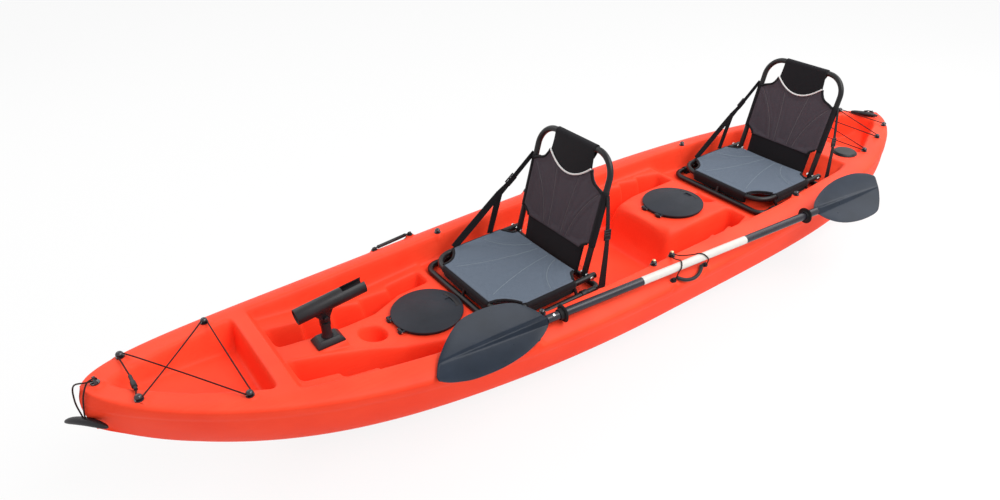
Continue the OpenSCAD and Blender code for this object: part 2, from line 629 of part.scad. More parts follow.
// Rod holder: deck base, swivel post and tilting cradle
base_top = 22;
post_d = 30;
post_spigot = 16;
post_h = 62;
cradle_h = 96;
cradle_l = 228;
cradle_wall = 4;
web_w = 78;
cradle_shift = 32;
yoke_gap = 16;
tilt_bolt_d = 8;
module at_rod() translate([rod_x, rod_y, rod_z]) children();
module rod_base() color(black) at_rod() difference() {
  hull() {
    translate([-rod_foot.x / 2, -rod_foot.y / 2, 0]) cube([rod_foot.x, rod_foot.y, 6]);
    translate([-rod_foot.x / 3, -rod_foot.y / 3, 0])
      cube([rod_foot.x * 2 / 3, rod_foot.y * 2 / 3, base_top]);
  }
  translate([0, 0, base_top - post_spigot]) cylinder(d = post_spigot + 2 * running, h = 60);
}
module rod_post() color(black) at_rod() difference() {
  union() {
    translate([0, 0, base_top - post_spigot + gap]) cylinder(d = post_spigot, h = post_spigot);
    translate([0, 0, base_top + gap]) cylinder(d1 = post_d + 8, d2 = post_d, h = 12);
    translate([0, 0, base_top + gap + 12]) cylinder(d = post_d, h = post_h - 22);
    translate([-post_d / 2, -yoke_gap / 2, post_h]) cube([post_d, yoke_gap, cradle_h - post_h]);
    translate([0, -yoke_gap / 2, cradle_h]) rotate([-90, 0, 0]) cylinder(d = post_d, h = yoke_gap);
  }
  translate([0, -50, cradle_h]) rotate([-90, 0, 0]) cylinder(d = tilt_bolt_d + 2 * running, h = 100);
}
cradle_rise = post_d / 2 + rod_bore / 2 + cradle_wall + 3;
module cradle_axis() at_rod() translate([0, 0, cradle_h]) rotate([0, -rod_tilt, 0]) children();
module rod_cradle() color(black) cradle_axis() difference() {
  union() {
    translate([cradle_shift - cradle_l / 2, 0, cradle_rise]) rotate([0, 90, 0])
      cylinder(d = rod_bore + 2 * cradle_wall, h = cradle_l);
    for (s = [1, -1]) translate([0, s * (yoke_gap / 2 + gap + 3) + 3, 0]) rotate([90, 0, 0])
      linear_extrude(6) polygon([[-post_d / 2, 0], [post_d / 2, 0],
        [web_w / 2, cradle_rise - 6], [-web_w / 2, cradle_rise - 6]]);
    for (s = [1, -1]) translate([0, s * (yoke_gap / 2 + gap + 3) - 3, 0]) rotate([-90, 0, 0])
      cylinder(d = post_d, h = 6);
  }
  translate([cradle_shift - cradle_l, 0, cradle_rise]) rotate([0, 90, 0])
    cylinder(d = rod_bore, h = 2 * cradle_l);
  translate([cradle_shift + cradle_l * 0.18, -14, cradle_rise]) cube([cradle_l, 28, rod_bore]);
  translate([0, -50, 0]) rotate([-90, 0, 0]) cylinder(d = tilt_bolt_d + 2 * running, h = 100);
}
module rod_tilt_bolt() color(black) at_rod() translate([0, 0, cradle_h]) rotate([90, 0, 0]) {
  translate([0, 0, -(yoke_gap / 2 + 12)]) cylinder(d = tilt_bolt_d, h = yoke_gap + 24);
  for (z = [-(yoke_gap / 2 + 14.5), yoke_gap / 2 + 6.5])
    translate([0, 0, z]) cylinder(d = 18, h = 8, $fn = 8);
}

// Flush rod holders behind the rear seat, with lift-off caps
flush_len = 150;
flush_wall = 3;
flush_rim = 4;
cap_t = 6;
// Each tube is parted a hair wide into staves, so that its tilted bore stays open in simulation
staves = 8;
module stave_cuts() for (i = [0 : staves / 2 - 1]) rotate(180 / staves * (2 * i + 1))
  cube([bay_gap, 2 * flush_flange, 4 * flush_len], center = true);
module flush_rod_holders() color(black) difference() {
  union() {
    mirrored() translate([flush_x, flush_y, flush_z]) cylinder(d = flush_flange, h = flush_rim);
    flush_axis() translate([0, 0, -flush_len]) cylinder(d = flush_d, h = flush_len);
  }
  flush_axis() translate([0, 0, -flush_len + flush_wall]) cylinder(d = flush_d - 2 * flush_wall, h = 300);
  translate([flush_x - 100, -half_l, flush_z + flush_rim]) cube([200, hull_l, 100]);
  flush_axis() stave_cuts();
}
module rod_cap(side) color(black) translate([flush_x, side * flush_y, flush_z + flush_rim + gap]) {
  cylinder(d1 = flush_flange - 6, d2 = flush_flange - 18, h = cap_t);
  translate([0, 0, -8]) cylinder(d = 28, h = 10);
}
module port_rod_cap() rod_cap(-1);
module starboard_rod_cap() rod_cap(1);

// Folding seats
tube_r = tube_d / 2;
base_half_w = seat_half_w + 23;
base_ahead = seat_depth + 20;
base_behind = 22;
seat_corner = 75;
base_corner = 45;
back_corner = 80;
seats = [[front_seat_x, front_seat_deck], [rear_seat_x, rear_seat_deck]];
module tube_ring() difference() {
  circle(r = tube_r);
  circle(r = tube_r - tube_wall);
}
// Bent tube: two legs along +X joined by a cross bar, corners of radius r
module u_tube(half_w, start, run, r) {
  mirrored() {
    translate([start, half_w, 0]) rotate([0, 90, 0]) linear_extrude(run - r - start) tube_ring();
    translate([run - r, half_w - r, 0]) rotate_extrude(angle = 90) translate([r, 0]) tube_ring();
  }
  translate([run, r - half_w, 0]) rotate([-90, 0, 0]) linear_extrude(2 * (half_w - r)) tube_ring();
}
module at_seat(i) translate([seats[i].x, 0, seats[i].y + base_h + seat_rise]) children();
module at_back(i) at_seat(i) rotate([0, recline - 90, 0]) children();
module hinge_holes(half_w) mirrored() translate([0, half_w - tube_d, 0]) rotate([-90, 0, 0])
  cylinder(d = hinge_bolt_d + 2 * running, h = 2 * tube_d);

foot_x = [-base_ahead + 75, -45];
module saddle() difference() {
  union() {
    translate([-12, -tube_r - 3, -base_h]) cube([24, tube_d + 6, base_h]);
    translate([-12, 0, 0]) rotate([0, 90, 0]) cylinder(r = tube_r + 3, h = 24);
    translate([-12, -tube_r - 8, -base_h]) cube([24, tube_d + 16, 4]);
  }
  translate([-20, 0, 0]) rotate([0, 90, 0]) cylinder(r = tube_r + gap / 2, h = 40);
}
module seat_feet() color(black) for (i = [0, 1], x = foot_x) at_seat(i) mirrored()
  translate([x, base_half_w, -seat_rise]) saddle();

post_x = [-seat_depth + 85, -75];
module seat_base(i) color(black) at_seat(i) difference() {
  union() {
    translate([0, 0, -seat_rise]) rotate([0, 0, 180]) u_tube(base_half_w, -1, base_ahead, base_corner);
    translate([0, 0, -seat_rise]) u_tube(base_half_w, 1, base_behind, base_behind - 2);
    mirrored() for (x = post_x) difference() {
      bar([x, base_half_w, -seat_rise], [x, seat_half_w, 0], 12);
      translate([x - 20, base_half_w, -seat_rise]) rotate([0, 90, 0])
        cylinder(r = tube_r - tube_wall / 2, h = 40);
    }
    difference() {
      bar([-base_ahead, 0, -seat_rise], [-seat_depth, 0, 0], 12);
      translate([-base_ahead, -20, -seat_rise]) rotate([-90, 0, 0])
        cylinder(r = tube_r - tube_wall / 2, h = 40);
    }
  }
  mirrored() translate([-seat_depth, seat_half_w, 0]) rotate([0, 90, 0])
    cylinder(r = tube_r + gap, h = seat_depth);
  translate([-seat_depth, -30, 0]) rotate([-90, 0, 0]) cylinder(r = tube_r + gap, h = 60);
}
module seat_frame(i) color(black) at_seat(i) difference() {
  rotate([0, 0, 180]) u_tube(seat_half_w, -24, seat_depth, seat_corner);
  hinge_holes(seat_half_w);
}
module back_frame(i) color(black) at_back(i) difference() {
  u_tube(back_half_w, -17, back_h, back_corner);
  hinge_holes(back_half_w);
}
bolt_in = back_half_w - tube_r - gap / 2;
bolt_mid = back_half_w + tube_r + gap / 2;
bolt_out = seat_half_w + tube_r + gap / 2;
module seat_hinge_bolts(i) color("silver") at_seat(i) mirrored() rotate([-90, 0, 0]) {
  translate([0, 0, bolt_in - 5]) cylinder(d = hinge_bolt_d, h = bolt_out - bolt_in + 10);
  translate([0, 0, bolt_in - 5]) cylinder(d = 15, h = 5, $fn = 6);
  translate([0, 0, bolt_mid]) cylinder(d = 15, h = seat_half_w - tube_r - gap / 2 - bolt_mid);
  translate([0, 0, bolt_out]) cylinder(d = 16, h = 5);
}

// Fabric panels: crowned pads with sewn channels that fan out from one edge
seam_cols = [-1, -0.84, -0.68, -0.48, -0.28, 0, 0.28, 0.48, 0.68, 0.84, 1];
seam_at = [0, 0, 1, 0, 1, 0, 1, 0, 1, 0, 0];
seam_depth = 3;
pad_crown = 6;
pad_rows = 9;
function fan(f, s) = f * (1 - 0.55 * (1 - abs(f)) * s);
// Height of a pad's face across (f, -1 to 1) and along (s, 0 to 1), with its sewn seams
function pad_face(f, s, t, seam) = t / 2 + pad_crown * (1 - f * f) * (1 - pow(2 * s - 1, 4))
  - seam_depth * seam * (1 - pow(2 * s - 1, 6));
function pad_grid(outline, low, high, dip, t, front) = [for (i = [0:pad_rows], j = [0:len(seam_cols) - 1])
  let (s = i / pad_rows, f = fan(seam_cols[j], dip > 0 ? 1 - s : s),
    y = f * lookup(low + (high - low) * s, outline),
    top = high - dip * max(0, 1 - pow(y / outline[len(outline) - 1][1], 2)))
  [low + (top - low) * s, y, front ? pad_face(f, s, t, seam_at[j]) : -t / 2]];
module pad(outline, low, high, dip, t) {
  cols = len(seam_cols);
  n = (pad_rows + 1) * cols;
  points = concat(pad_grid(outline, low, high, dip, t, true), pad_grid(outline, low, high, dip, t, false));
  top = [for (i = [0:pad_rows - 1], j = [0:cols - 2]) let (a = i * cols + j, b = a + cols)
    each [[b + 1, b, a], [a + 1, b + 1, a]]];
  bottom = [for (f = top) [n + f[2], n + f[1], n + f[0]]];
  rim = concat([for (i = [0:pad_rows]) i * cols], [for (j = [1:cols - 1]) pad_rows * cols + j],
    [for (i = [pad_rows - 1:-1:0]) i * cols + cols - 1], [for (j = [cols - 2:-1:1]) j]);
  m = len(rim);
  side = [for (k = [0:m - 1]) let (a = rim[k], b = rim[(k + 1) % m])
    each [[a, b, n + a], [b, n + b, n + a]]];
  polyhedron(points, concat(top, bottom, side), convexity = 4);
}
seat_clear = seat_half_w - tube_r - gap;
seat_front = -seat_depth + tube_r + gap;
seat_outline = [[seat_front, seat_clear - 70], [seat_front + 45, seat_clear - 56],
  [seat_front + 70, seat_clear - 34], [seat_front + 82, seat_clear - 10], [seat_front + 95, seat_clear],
  [-112, seat_clear], [-98, seat_clear - 16], [-86, seat_clear - 44], [-30, seat_clear - 48]];
module seat_sling(i) color(fabric_seat) at_seat(i) translate([0, 0, 2])
  pad(seat_outline, seat_front, -30, 0, sling_t);
back_clear = back_half_w - tube_r - gap;
back_top = back_h - 78;
head_half_w = 104;
back_outline = [[60, back_clear - 30], [88, back_clear - 28], [104, back_clear], [back_h - 130, back_clear],
  [back_h - 112, back_clear - 16], [back_h - 95, back_clear - 44],
  [back_top - 6, head_half_w + 3], [back_top, head_half_w]];
panel_dip = 52;
module back_sling(i) color(fabric_back) at_back(i) translate([0, 0, 3])
  pad(back_outline, 60, back_top, panel_dip, sling_t);
function panel_edge(y) = back_top - panel_dip * max(0, 1 - pow(y / head_half_w, 2)) + gap;
head_t = 9;
module headrest(i) color(black) at_back(i) translate([0, 0, 3 - head_t / 2]) linear_extrude(head_t)
  polygon(concat([for (f = seam_cols) [panel_edge(f * head_half_w), f * head_half_w]],
    [[back_h - tube_r - gap, head_half_w - 8], [back_h - tube_r - gap, 8 - head_half_w]]));

// Webbing: a forward stay with its branch on one side, a rear stay on the other
strap_t = 2;
stay_up = 312;
function back_point(up, y) = [up * sin(recline), y, up * cos(recline)];
module strap(p, q, w = strap_w) hull() {
  translate(p - [w / 2, strap_t / 2, 1]) cube([w, strap_t, 2]);
  translate(q - [w / 2, strap_t / 2, 1]) cube([w, strap_t, 2]);
}
module seat_straps(i) color(black) at_seat(i) {
  top = back_point(stay_up, back_half_w + tube_r + gap + strap_t / 2);
  foot = [-seat_depth + 92, seat_half_w, tube_r + gap + 1];
  fork = top * 0.55 + foot * 0.45;
  strap(top, foot);
  strap(fork + [0, strap_t + gap, 0], [-118, seat_half_w + strap_t + gap, tube_r + gap + 1]);
  buckle = top * 0.72 + foot * 0.28;
  translate(buckle - [18, 3, 16]) cube([36, 6, 32]);
  stay_top = back_point(stay_up - 14, -back_half_w - tube_r - gap - strap_t / 2);
  stay_foot = [base_behind + 2, -base_half_w - tube_r - gap - strap_t / 2, -seat_rise];
  strap(stay_top, stay_foot, strap_w * 0.7);
}
module front_seat_base() seat_base(0);
module rear_seat_base() seat_base(1);
module front_seat_frame() seat_frame(0);
module rear_seat_frame() seat_frame(1);
module front_seat_hinge_bolts() seat_hinge_bolts(0);
module rear_seat_hinge_bolts() seat_hinge_bolts(1);
module front_seat_sling() seat_sling(0);
module rear_seat_sling() seat_sling(1);
module front_back_frame() back_frame(0);
module rear_back_frame() back_frame(1);
module front_back_sling() back_sling(0);
module rear_back_sling() back_sling(1);
module front_headrest() headrest(0);
module rear_headrest() headrest(1);
module front_seat_straps() seat_straps(0);
module rear_seat_straps() seat_straps(1);

// Paddle stowed along the port gunwale
paddle_at = [8, -417, 358];
paddle_yaw = -4.6;
paddle_roll = 28;
shaft_wall = 2;
throat = paddle_l / 2 - blade_l;
spigot_l = 120;
button_d = 8;
module at_paddle() translate(paddle_at) rotate([0, 0, paddle_yaw]) rotate([paddle_roll, 0, 0]) children();
module pipe(from, to, d, w) translate([from, 0, 0]) rotate([0, 90, 0]) linear_extrude(to - from)
  difference() {
    circle(d = d);
    circle(d = d - 2 * w);
  }
// Each station: distance from the throat, reach of the long edge, reach of the short edge
long_w = blade_w * 0.46;
short_w = blade_w - long_w;
blade_line = [[0, 15.5, 15.5], [20, 33, 46], [65, 57, short_w - 22], [125, long_w - 13, short_w - 4],
  [200, long_w - 1, short_w], [blade_l - 138, long_w, short_w - 9], [blade_l - 90, long_w - 4, short_w - 38],
  [blade_l - 55, long_w - 13, 38], [blade_l - 25, long_w - 24, 6], [blade_l, 50, -35]];
// A spine runs down the middle of the blade and dies out before its tip
function spine_r(d) = lookup(d, [[0, shaft_d / 2 - 0.5], [blade_l - 60, 5], [blade_l, 3]]);
function blade_ring(s) = let (r = spine_r(s[0]), c = max(0, 6 - s[2]), e = 1.2, k = 0.7 * r)
  [for (p = [[s[1], -e], [s[1], e], [c + r, 2 * e], [c + k, k + e], [c, r + 0.5], [c - k, k + e],
    [c - r, 2 * e], [-s[2], e], [-s[2], -e], [c - r, -2 * e], [c - k, -k - e], [c, -r - 0.5],
    [c + k, -k - e], [c + r, -2 * e]]) [s[0], p.x, p.y]];
module blade() loft([for (s = blade_line) blade_ring(s)]);
module shaft_end() {
  pipe(sleeve_l / 2 + gap, throat - gap, shaft_d, shaft_wall);
  pipe(sleeve_l / 2 - spigot_l, sleeve_l / 2 + gap + 1, shaft_d - 2 * shaft_wall - 2 * running, shaft_wall);
  pipe(sleeve_l / 2 + gap, sleeve_l / 2 + 30, shaft_d - 1, 2 * shaft_wall);
}
module drip_ring(x) translate([x, 0, 0]) rotate([0, 90, 0]) difference() {
  union() {
    cylinder(d = shaft_d + 8, h = 26);
    translate([0, 0, 8]) cylinder(d1 = shaft_d + 33, d2 = shaft_d + 22, h = 5);
  }
  translate([0, 0, -1]) cylinder(d = shaft_d + 2 * running, h = 40);
}
ring_x = throat - 72;
module paddle_front_blade() color(slate) at_paddle() rotate([0, 0, 180]) translate([throat, 0, 0]) blade();
module paddle_rear_blade() color(slate) at_paddle() translate([throat, 0, 0]) blade();
module paddle_front_shaft() color(black) at_paddle() difference() {
  rotate([0, 0, 180]) shaft_end();
  translate([24 - throat, 0, 0]) cylinder(d = button_d + 2 * running, h = shaft_d);
}
module paddle_rear_shaft() color(black) at_paddle() shaft_end();
module paddle_sleeve() color(white) at_paddle() pipe(-sleeve_l / 2, sleeve_l / 2, shaft_d, shaft_wall);
module paddle_front_drip_ring() color(black) at_paddle() rotate([0, 0, 180]) drip_ring(ring_x);
module paddle_rear_drip_ring() color(black) at_paddle() drip_ring(ring_x);
module paddle_snap_button() color("silver") at_paddle() translate([24 - throat, 0, shaft_d / 2 - 6])
  cylinder(d = button_d, h = 9);

// Keeper cord from the port handle over the paddle shaft to its button
keeper_button = rail_fittings[4];
keeper_r = shaft_d / 2 + cord_d / 2 + 3 * gap;
function beside_shaft(x, w) = [x, paddle_at.y + (x - paddle_at.x) * tan(paddle_yaw) + keeper_r * cos(w),
  paddle_at.z + keeper_r * sin(w)];
function keeper_leg(e) = concat(
  [xyz(handle_boss(keeper_x, -1, e)) - [0, lug.y / 2 + cord_d / 2 + gap, -lug_pin_h]],
  [for (w = [200:-20:40]) beside_shaft(keeper_x + e * (handle_l / 2 - 12 - (200 - w) * 0.2), w)],
  [[keeper_button.x + e * 14, keeper_button.y - 20, keeper_button.z + wrap_h]]);
module paddle_keeper() color(black) cord(concat(keeper_leg(-1),
  round_button(keeper_leg(-1)[10], keeper_button, keeper_leg(1)[10]),
  [for (i = [10:-1:0]) keeper_leg(1)[i]]), cord_d, [1, 0, 0.2]);

hull_shell();
drain_plug();
bow_eyelets();
gunwale_eyelets();
stern_eyelets();
bow_bungee();
bungee_hook();
stern_bungee();
paddle_keeper();
bow_toggle();
bow_toggle_cord();
stern_toggle();
stern_toggle_cord();
handle_anchors();
port_front_grip();
port_rear_grip();
starboard_front_grip();
starboard_rear_grip();
hatch_rims();
hatch_gaskets();
hatch_hinge_pins();
front_hatch_lid();
front_hatch_latch();
rear_hatch_lid();
rear_hatch_latch();
rod_base();
rod_post();
rod_cradle();
rod_tilt_bolt();
flush_rod_holders();
port_rod_cap();
starboard_rod_cap();
seat_feet();
front_seat_base();
front_seat_frame();
front_seat_hinge_bolts();
front_seat_sling();
front_back_frame();
front_back_sling();
front_headrest();
front_seat_straps();
rear_seat_base();
rear_seat_frame();
rear_seat_hinge_bolts();
rear_seat_sling();
rear_back_frame();
rear_back_sling();
rear_headrest();
rear_seat_straps();
paddle_front_blade();
paddle_front_shaft();
paddle_sleeve();
paddle_rear_shaft();
paddle_rear_blade();
paddle_front_drip_ring();
paddle_rear_drip_ring();
paddle_snap_button();
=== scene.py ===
"""Looks of a tandem sit-on-top kayak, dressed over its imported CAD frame.

Metres, in the CAD frame: +X to the stern, +Y to starboard, +Z up, origin on the keel amidships.
"""

import json
import math

import bmesh
import bpy
import numpy as np
from mathutils import Matrix, Vector


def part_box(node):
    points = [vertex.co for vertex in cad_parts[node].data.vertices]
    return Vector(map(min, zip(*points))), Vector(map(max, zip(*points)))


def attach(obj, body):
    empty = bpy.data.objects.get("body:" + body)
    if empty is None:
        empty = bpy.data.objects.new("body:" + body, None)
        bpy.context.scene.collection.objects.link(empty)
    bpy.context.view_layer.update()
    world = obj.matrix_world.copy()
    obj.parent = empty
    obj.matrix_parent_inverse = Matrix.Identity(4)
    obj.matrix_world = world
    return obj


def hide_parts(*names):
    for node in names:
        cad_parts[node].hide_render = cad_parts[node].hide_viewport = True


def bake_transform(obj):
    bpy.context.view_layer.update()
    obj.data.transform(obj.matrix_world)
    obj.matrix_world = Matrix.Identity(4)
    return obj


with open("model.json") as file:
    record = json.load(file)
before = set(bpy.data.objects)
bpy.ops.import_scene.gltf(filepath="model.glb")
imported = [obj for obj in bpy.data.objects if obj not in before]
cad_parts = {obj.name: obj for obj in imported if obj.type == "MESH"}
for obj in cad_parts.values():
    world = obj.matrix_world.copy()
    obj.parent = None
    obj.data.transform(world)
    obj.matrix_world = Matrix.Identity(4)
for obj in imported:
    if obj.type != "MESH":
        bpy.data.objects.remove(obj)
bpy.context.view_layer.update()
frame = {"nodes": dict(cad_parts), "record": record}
nodes = frame["nodes"]
scene = bpy.context.scene
bodies_of = {n: b for b, ns in frame["record"]["behaviour"]["bodies"].items() for n in ns}
slot_of = {p["node"]: p["material_slot"] for p in frame["record"]["subparts"]}


# Materials
def linear(r, g, b):
    """Linear colour of an 8-bit sRGB one."""
    shares = (r / 255, g / 255, b / 255)
    return tuple(c / 12.92 if c <= 0.04045 else ((c + 0.055) / 1.055) ** 2.4 for c in shares)


def math_node(tree, operation, a, b):
    """Output of an operation on two sockets or numbers."""
    made = tree.nodes.new("ShaderNodeMath")
    made.operation = operation
    for socket, value in zip(made.inputs, (a, b)):
        if isinstance(value, bpy.types.NodeSocket):
            tree.links.new(value, socket)
        else:
            socket.default_value = value
    return made.outputs[0]


class Shader:
    """Node graph of one procedural material."""

    def __init__(self, name, **sockets):
        self.material = bpy.data.materials.new(name)
        self.material.use_nodes = True
        self.tree = self.material.node_tree
        self.bsdf = self.tree.nodes["Principled BSDF"]
        for socket, value in sockets.items():
            self.bsdf.inputs[socket.replace("_", " ")].default_value = value
        self.coords = self.tree.nodes.new("ShaderNodeTexCoord")

    def node(self, kind, settings=None, **links):
        made = self.tree.nodes.new("ShaderNode" + kind)
        for key, value in (settings or {}).items():
            setattr(made, key, value)
        for socket, value in links.items():
            target = made.inputs[socket.replace("_", " ")]
            if isinstance(value, bpy.types.NodeSocket):
                self.tree.links.new(value, target)
            else:
                target.default_value = value
        return made

    def place(self, scale, space="Object"):
        return self.node("Mapping", Vector=self.coords.outputs[space], Scale=scale).outputs["Vector"]

    def noise(self, scale, detail=2.0, vector=None, rough=0.5):
        sockets = {"Scale": scale, "Detail": detail, "Roughness": rough}
        vector = vector or self.coords.outputs["Object"]
        return self.node("TexNoise", Vector=vector, **sockets).outputs["Fac"]

    def wave(self, scale, axis, space="UV"):
        settings = {"wave_type": "BANDS", "bands_direction": axis, "wave_profile": "SIN"}
        return self.node("TexWave", settings, Vector=self.coords.outputs[space], Scale=scale).outputs["Fac"]

    def product(self, a, b):
        return math_node(self.tree, "MULTIPLY", a, b)

    def mixed(self, a, b, part):
        """The sum of part of a and the rest of b."""
        return math_node(self.tree, "ADD", self.product(a, part), self.product(b, 1 - part))

    def ramp(self, factor, stops):
        made = self.node("ValToRGB", Fac=factor)
        elements = made.color_ramp.elements
        while len(elements) < len(stops):
            elements.new(0.5)
        for element, (position, color) in zip(elements, stops):
            element.position = position
            element.color = (*color, 1)
        return made.outputs["Color"]

    def spread(self, factor, low, high):
        return self.node("MapRange", Value=factor, To_Min=low, To_Max=high).outputs["Result"]

    def feed(self, socket, output):
        self.tree.links.new(output, self.bsdf.inputs[socket])

    def tint(self, factor, *stops):
        """Base colour from stops of (position, 8-bit sRGB colour)."""
        self.feed("Base Color", self.ramp(factor, [(at, linear(*color)) for at, color in stops]))

    def bump(self, *layers):
        """Layers of (height, strength, distance), each one on top of the one before."""
        normal = None
        for height, strength, distance in layers:
            made = self.node("Bump", Height=height, Strength=strength, Distance=distance)
            if normal:
                self.tree.links.new(normal, made.inputs["Normal"])
            normal = made.outputs["Normal"]
        self.feed("Normal", normal)
        return self


def plastic(name, dark, light, rough, grain=900.0, depth=0.0004, shine=0.3):
    """Moulded plastic: slight mottling, fine grain and uneven gloss."""
    s = Shader(name, Specular_IOR_Level=shine)
    mottle = s.noise(9.0, 4.0)
    fine = s.noise(grain, 2.0)
    s.tint(mottle, (0.3, dark), (0.7, light))
    s.feed("Roughness", s.spread(s.noise(60.0, 3.0), rough - 0.06, rough + 0.06))
    return s.bump((fine, 0.18, depth)).material


def shell_material():
    """Rotomoulded polyethylene: warm mottling, orange-peel skin, drag marks along it and duller sides."""
    s = Shader("shell_polyethylene")
    upward = s.node("SeparateXYZ", Vector=s.coords.outputs["Normal"]).outputs["Z"]
    s.feed("Specular IOR Level", s.spread(upward, 0.03, 0.2))
    mottle = s.noise(5.0, 5.0)
    drag = s.noise(18.0, 4.0, s.place((0.6, 9.0, 9.0)), 0.6)
    s.tint(s.mixed(mottle, drag, 0.7), (0.3, (243, 64, 38)), (0.55, (249, 73, 45)), (0.8, (253, 82, 53)))
    s.feed("Roughness", s.spread(drag, 0.42, 0.58))
    return s.bump((s.noise(420.0, 3.0), 0.12, 0.0006), (s.noise(45.0, 2.0), 0.05, 0.002)).material


def weave_material(name, dark, light, pitch):
    """Plain weave on the piece's own flat coordinates, with slubs and a soft sheen."""
    s = Shader(name, Sheen_Weight=0.06, Sheen_Roughness=0.5, Specular_IOR_Level=0.12)
    warp = s.wave(1 / pitch / math.tau * 2, "X")
    weft = s.wave(1 / pitch / math.tau * 2, "Y")
    cross = s.product(warp, weft)
    slub = s.noise(60.0, 4.0, s.place((1.0, 8.0, 1.0), "UV"))
    s.tint(s.mixed(cross, slub, 0.35), (0.2, dark), (0.75, light))
    s.feed("Roughness", s.spread(slub, 0.68, 0.85))
    return s.bump((cross, 0.35, 0.0005), (slub, 0.1, 0.0008)).material


def webbing_material(name, dark, light):
    """Ribbed webbing: ribs across the strap with a fine diagonal."""
    s = Shader(name, Specular_IOR_Level=0.15)
    rib = s.wave(260.0, "X")
    chevron = s.wave(420.0, "DIAGONAL")
    tone = s.mixed(rib, chevron, 0.5)
    s.tint(tone, (0.2, dark), (0.9, light))
    s.feed("Roughness", s.spread(s.noise(200.0), 0.55, 0.75))
    return s.bump((tone, 0.5, 0.0006)).material


def braid_material(name, dark, light):
    """Braided cover of an elastic cord, with a pale fleck."""
    s = Shader(name, Specular_IOR_Level=0.15)
    braid = s.wave(300.0, "DIAGONAL", "Object")
    fleck = s.noise(700.0, 1.0)
    s.tint(s.product(braid, fleck), (0.1, dark), (0.6, light))
    s.feed("Roughness", s.spread(fleck, 0.5, 0.7))
    return s.bump((braid, 0.4, 0.0005)).material


def metal_material(name, color, rough):
    """Turned or drawn metal with fine lines and a few dull spots."""
    s = Shader(name, Metallic=1.0)
    lines = s.noise(120.0, 3.0, s.place((0.2, 6.0, 6.0)))
    s.feed("Base Color", s.ramp(lines, [(0.3, tuple(0.85 * c for c in color)), (0.7, color)]))
    s.feed("Roughness", s.spread(lines, rough - 0.08, rough + 0.08))
    return s.bump((lines, 0.1, 0.0003)).material


looks = {
    "orange_shell": shell_material(),
    "black_plastic": plastic("moulded_black", (20, 19, 21), (38, 36, 40), 0.42),
    "lid_plastic": plastic("lid_stipple", (37, 40, 46), (45, 48, 55), 0.5, 620, 0.0008, 0.16),
    "blade_plastic": plastic("blade_nylon", (22, 30, 41), (32, 41, 54), 0.3, 500, 0.0003, 0.17),
    "seat_tube": plastic("powder_coat", (18, 18, 20), (28, 28, 30), 0.36, 1500, 0.0003),
    "shaft_black": plastic("shaft_coat", (27, 25, 33), (38, 35, 45), 0.28, 1200, 0.0002, 0.4),
    "shaft_white": plastic("sleeve_white", (198, 194, 188), (210, 206, 200), 0.26, 800, 0.0002),
    "rubber": plastic("soft_rubber", (18, 18, 20), (28, 28, 30), 0.6, 700, 0.0005, 0.2),
    "steel": metal_material("stainless", (0.62, 0.62, 0.61), 0.3),
    "eyelet_gloss": plastic("eyelet_gloss", (26, 24, 29), (42, 39, 46), 0.2, 900, 0.0002, 0.6),
    "brass": metal_material("brass_heads", (0.72, 0.56, 0.32), 0.3),
    "cord": braid_material("braided_cord", (26, 16, 16), (66, 36, 34)),
    "fabric_seat": weave_material("seat_weave", (84, 94, 107), (106, 116, 130), 0.0016),
    "fabric_back": weave_material("back_weave", (64, 58, 65), (84, 77, 84), 0.0016),
    "fabric_trim": weave_material("trim_weave", (18, 17, 20), (33, 32, 36), 0.0014),
    "piping": weave_material("pale_piping", (215, 215, 214), (240, 240, 238), 0.001),
    # Seam welts: real sewn strands, in lighter greys than their panels that paint the highlight along the
    # seams' creases.
    "seat_welt": weave_material("seat_welt", (108, 118, 128), (136, 146, 154), 0.001),
    "back_welt": weave_material("back_welt", (88, 84, 88), (112, 108, 111), 0.001),
    "webbing": webbing_material("strap_webbing", (16, 16, 18), (36, 36, 39)),
}


# Piece helpers
WELD = 2e-6            # points of a CAD node closer than this are one
SHARP = math.radians(35)


def added(name, data):
    """New object in the scene."""
    obj = bpy.data.objects.new(name, data)
    scene.collection.objects.link(obj)
    return obj


def link_piece(obj, body, look, replaced=()):
    """Puts a finished object on a body, with its finish and the CAD nodes that it stands for."""
    obj.data.materials.clear()
    obj.data.materials.append(looks[look])
    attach(obj, body)
    if replaced:
        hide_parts(*replaced)
    return obj


def plain_mesh(name, verts, faces, uv=None):
    """Smooth mesh, with flat coordinates for a woven finish where uv gives them."""
    mesh = bpy.data.meshes.new(name)
    mesh.from_pydata(np.asarray(verts, float).tolist(), [], [list(map(int, f)) for f in faces])
    if uv is not None:
        layer = mesh.uv_layers.new(name="flat")
        index = np.empty(len(mesh.loops), int)
        mesh.loops.foreach_get("vertex_index", index)
        layer.data.foreach_set("uv", np.asarray(uv, float)[index].ravel())
    mesh.validate()
    mesh.shade_smooth()
    return mesh


def mesh_piece(name, verts, faces, body, slot, look=None, replaced=(), uv=None):
    return link_piece(added(name, plain_mesh(name, verts, faces, uv)), body, look or slot, replaced)


def mend_normals(piece, weld=0):
    """All faces turned outwards, once points closer than weld are joined."""
    bm = bmesh.new()
    bm.from_mesh(piece.data)
    if weld:
        bmesh.ops.remove_doubles(bm, verts=bm.verts, dist=weld)
    bmesh.ops.recalc_face_normals(bm, faces=bm.faces)
    bm.to_mesh(piece.data)
    bm.free()
    piece.data.shade_smooth()
    return piece


def grid_faces(rows, cols):
    i, j = np.meshgrid(np.arange(rows - 1), np.arange(cols - 1), indexing="ij")
    a = (i * cols + j).ravel()
    return np.stack([a, a + cols, a + cols + 1, a + 1], 1)


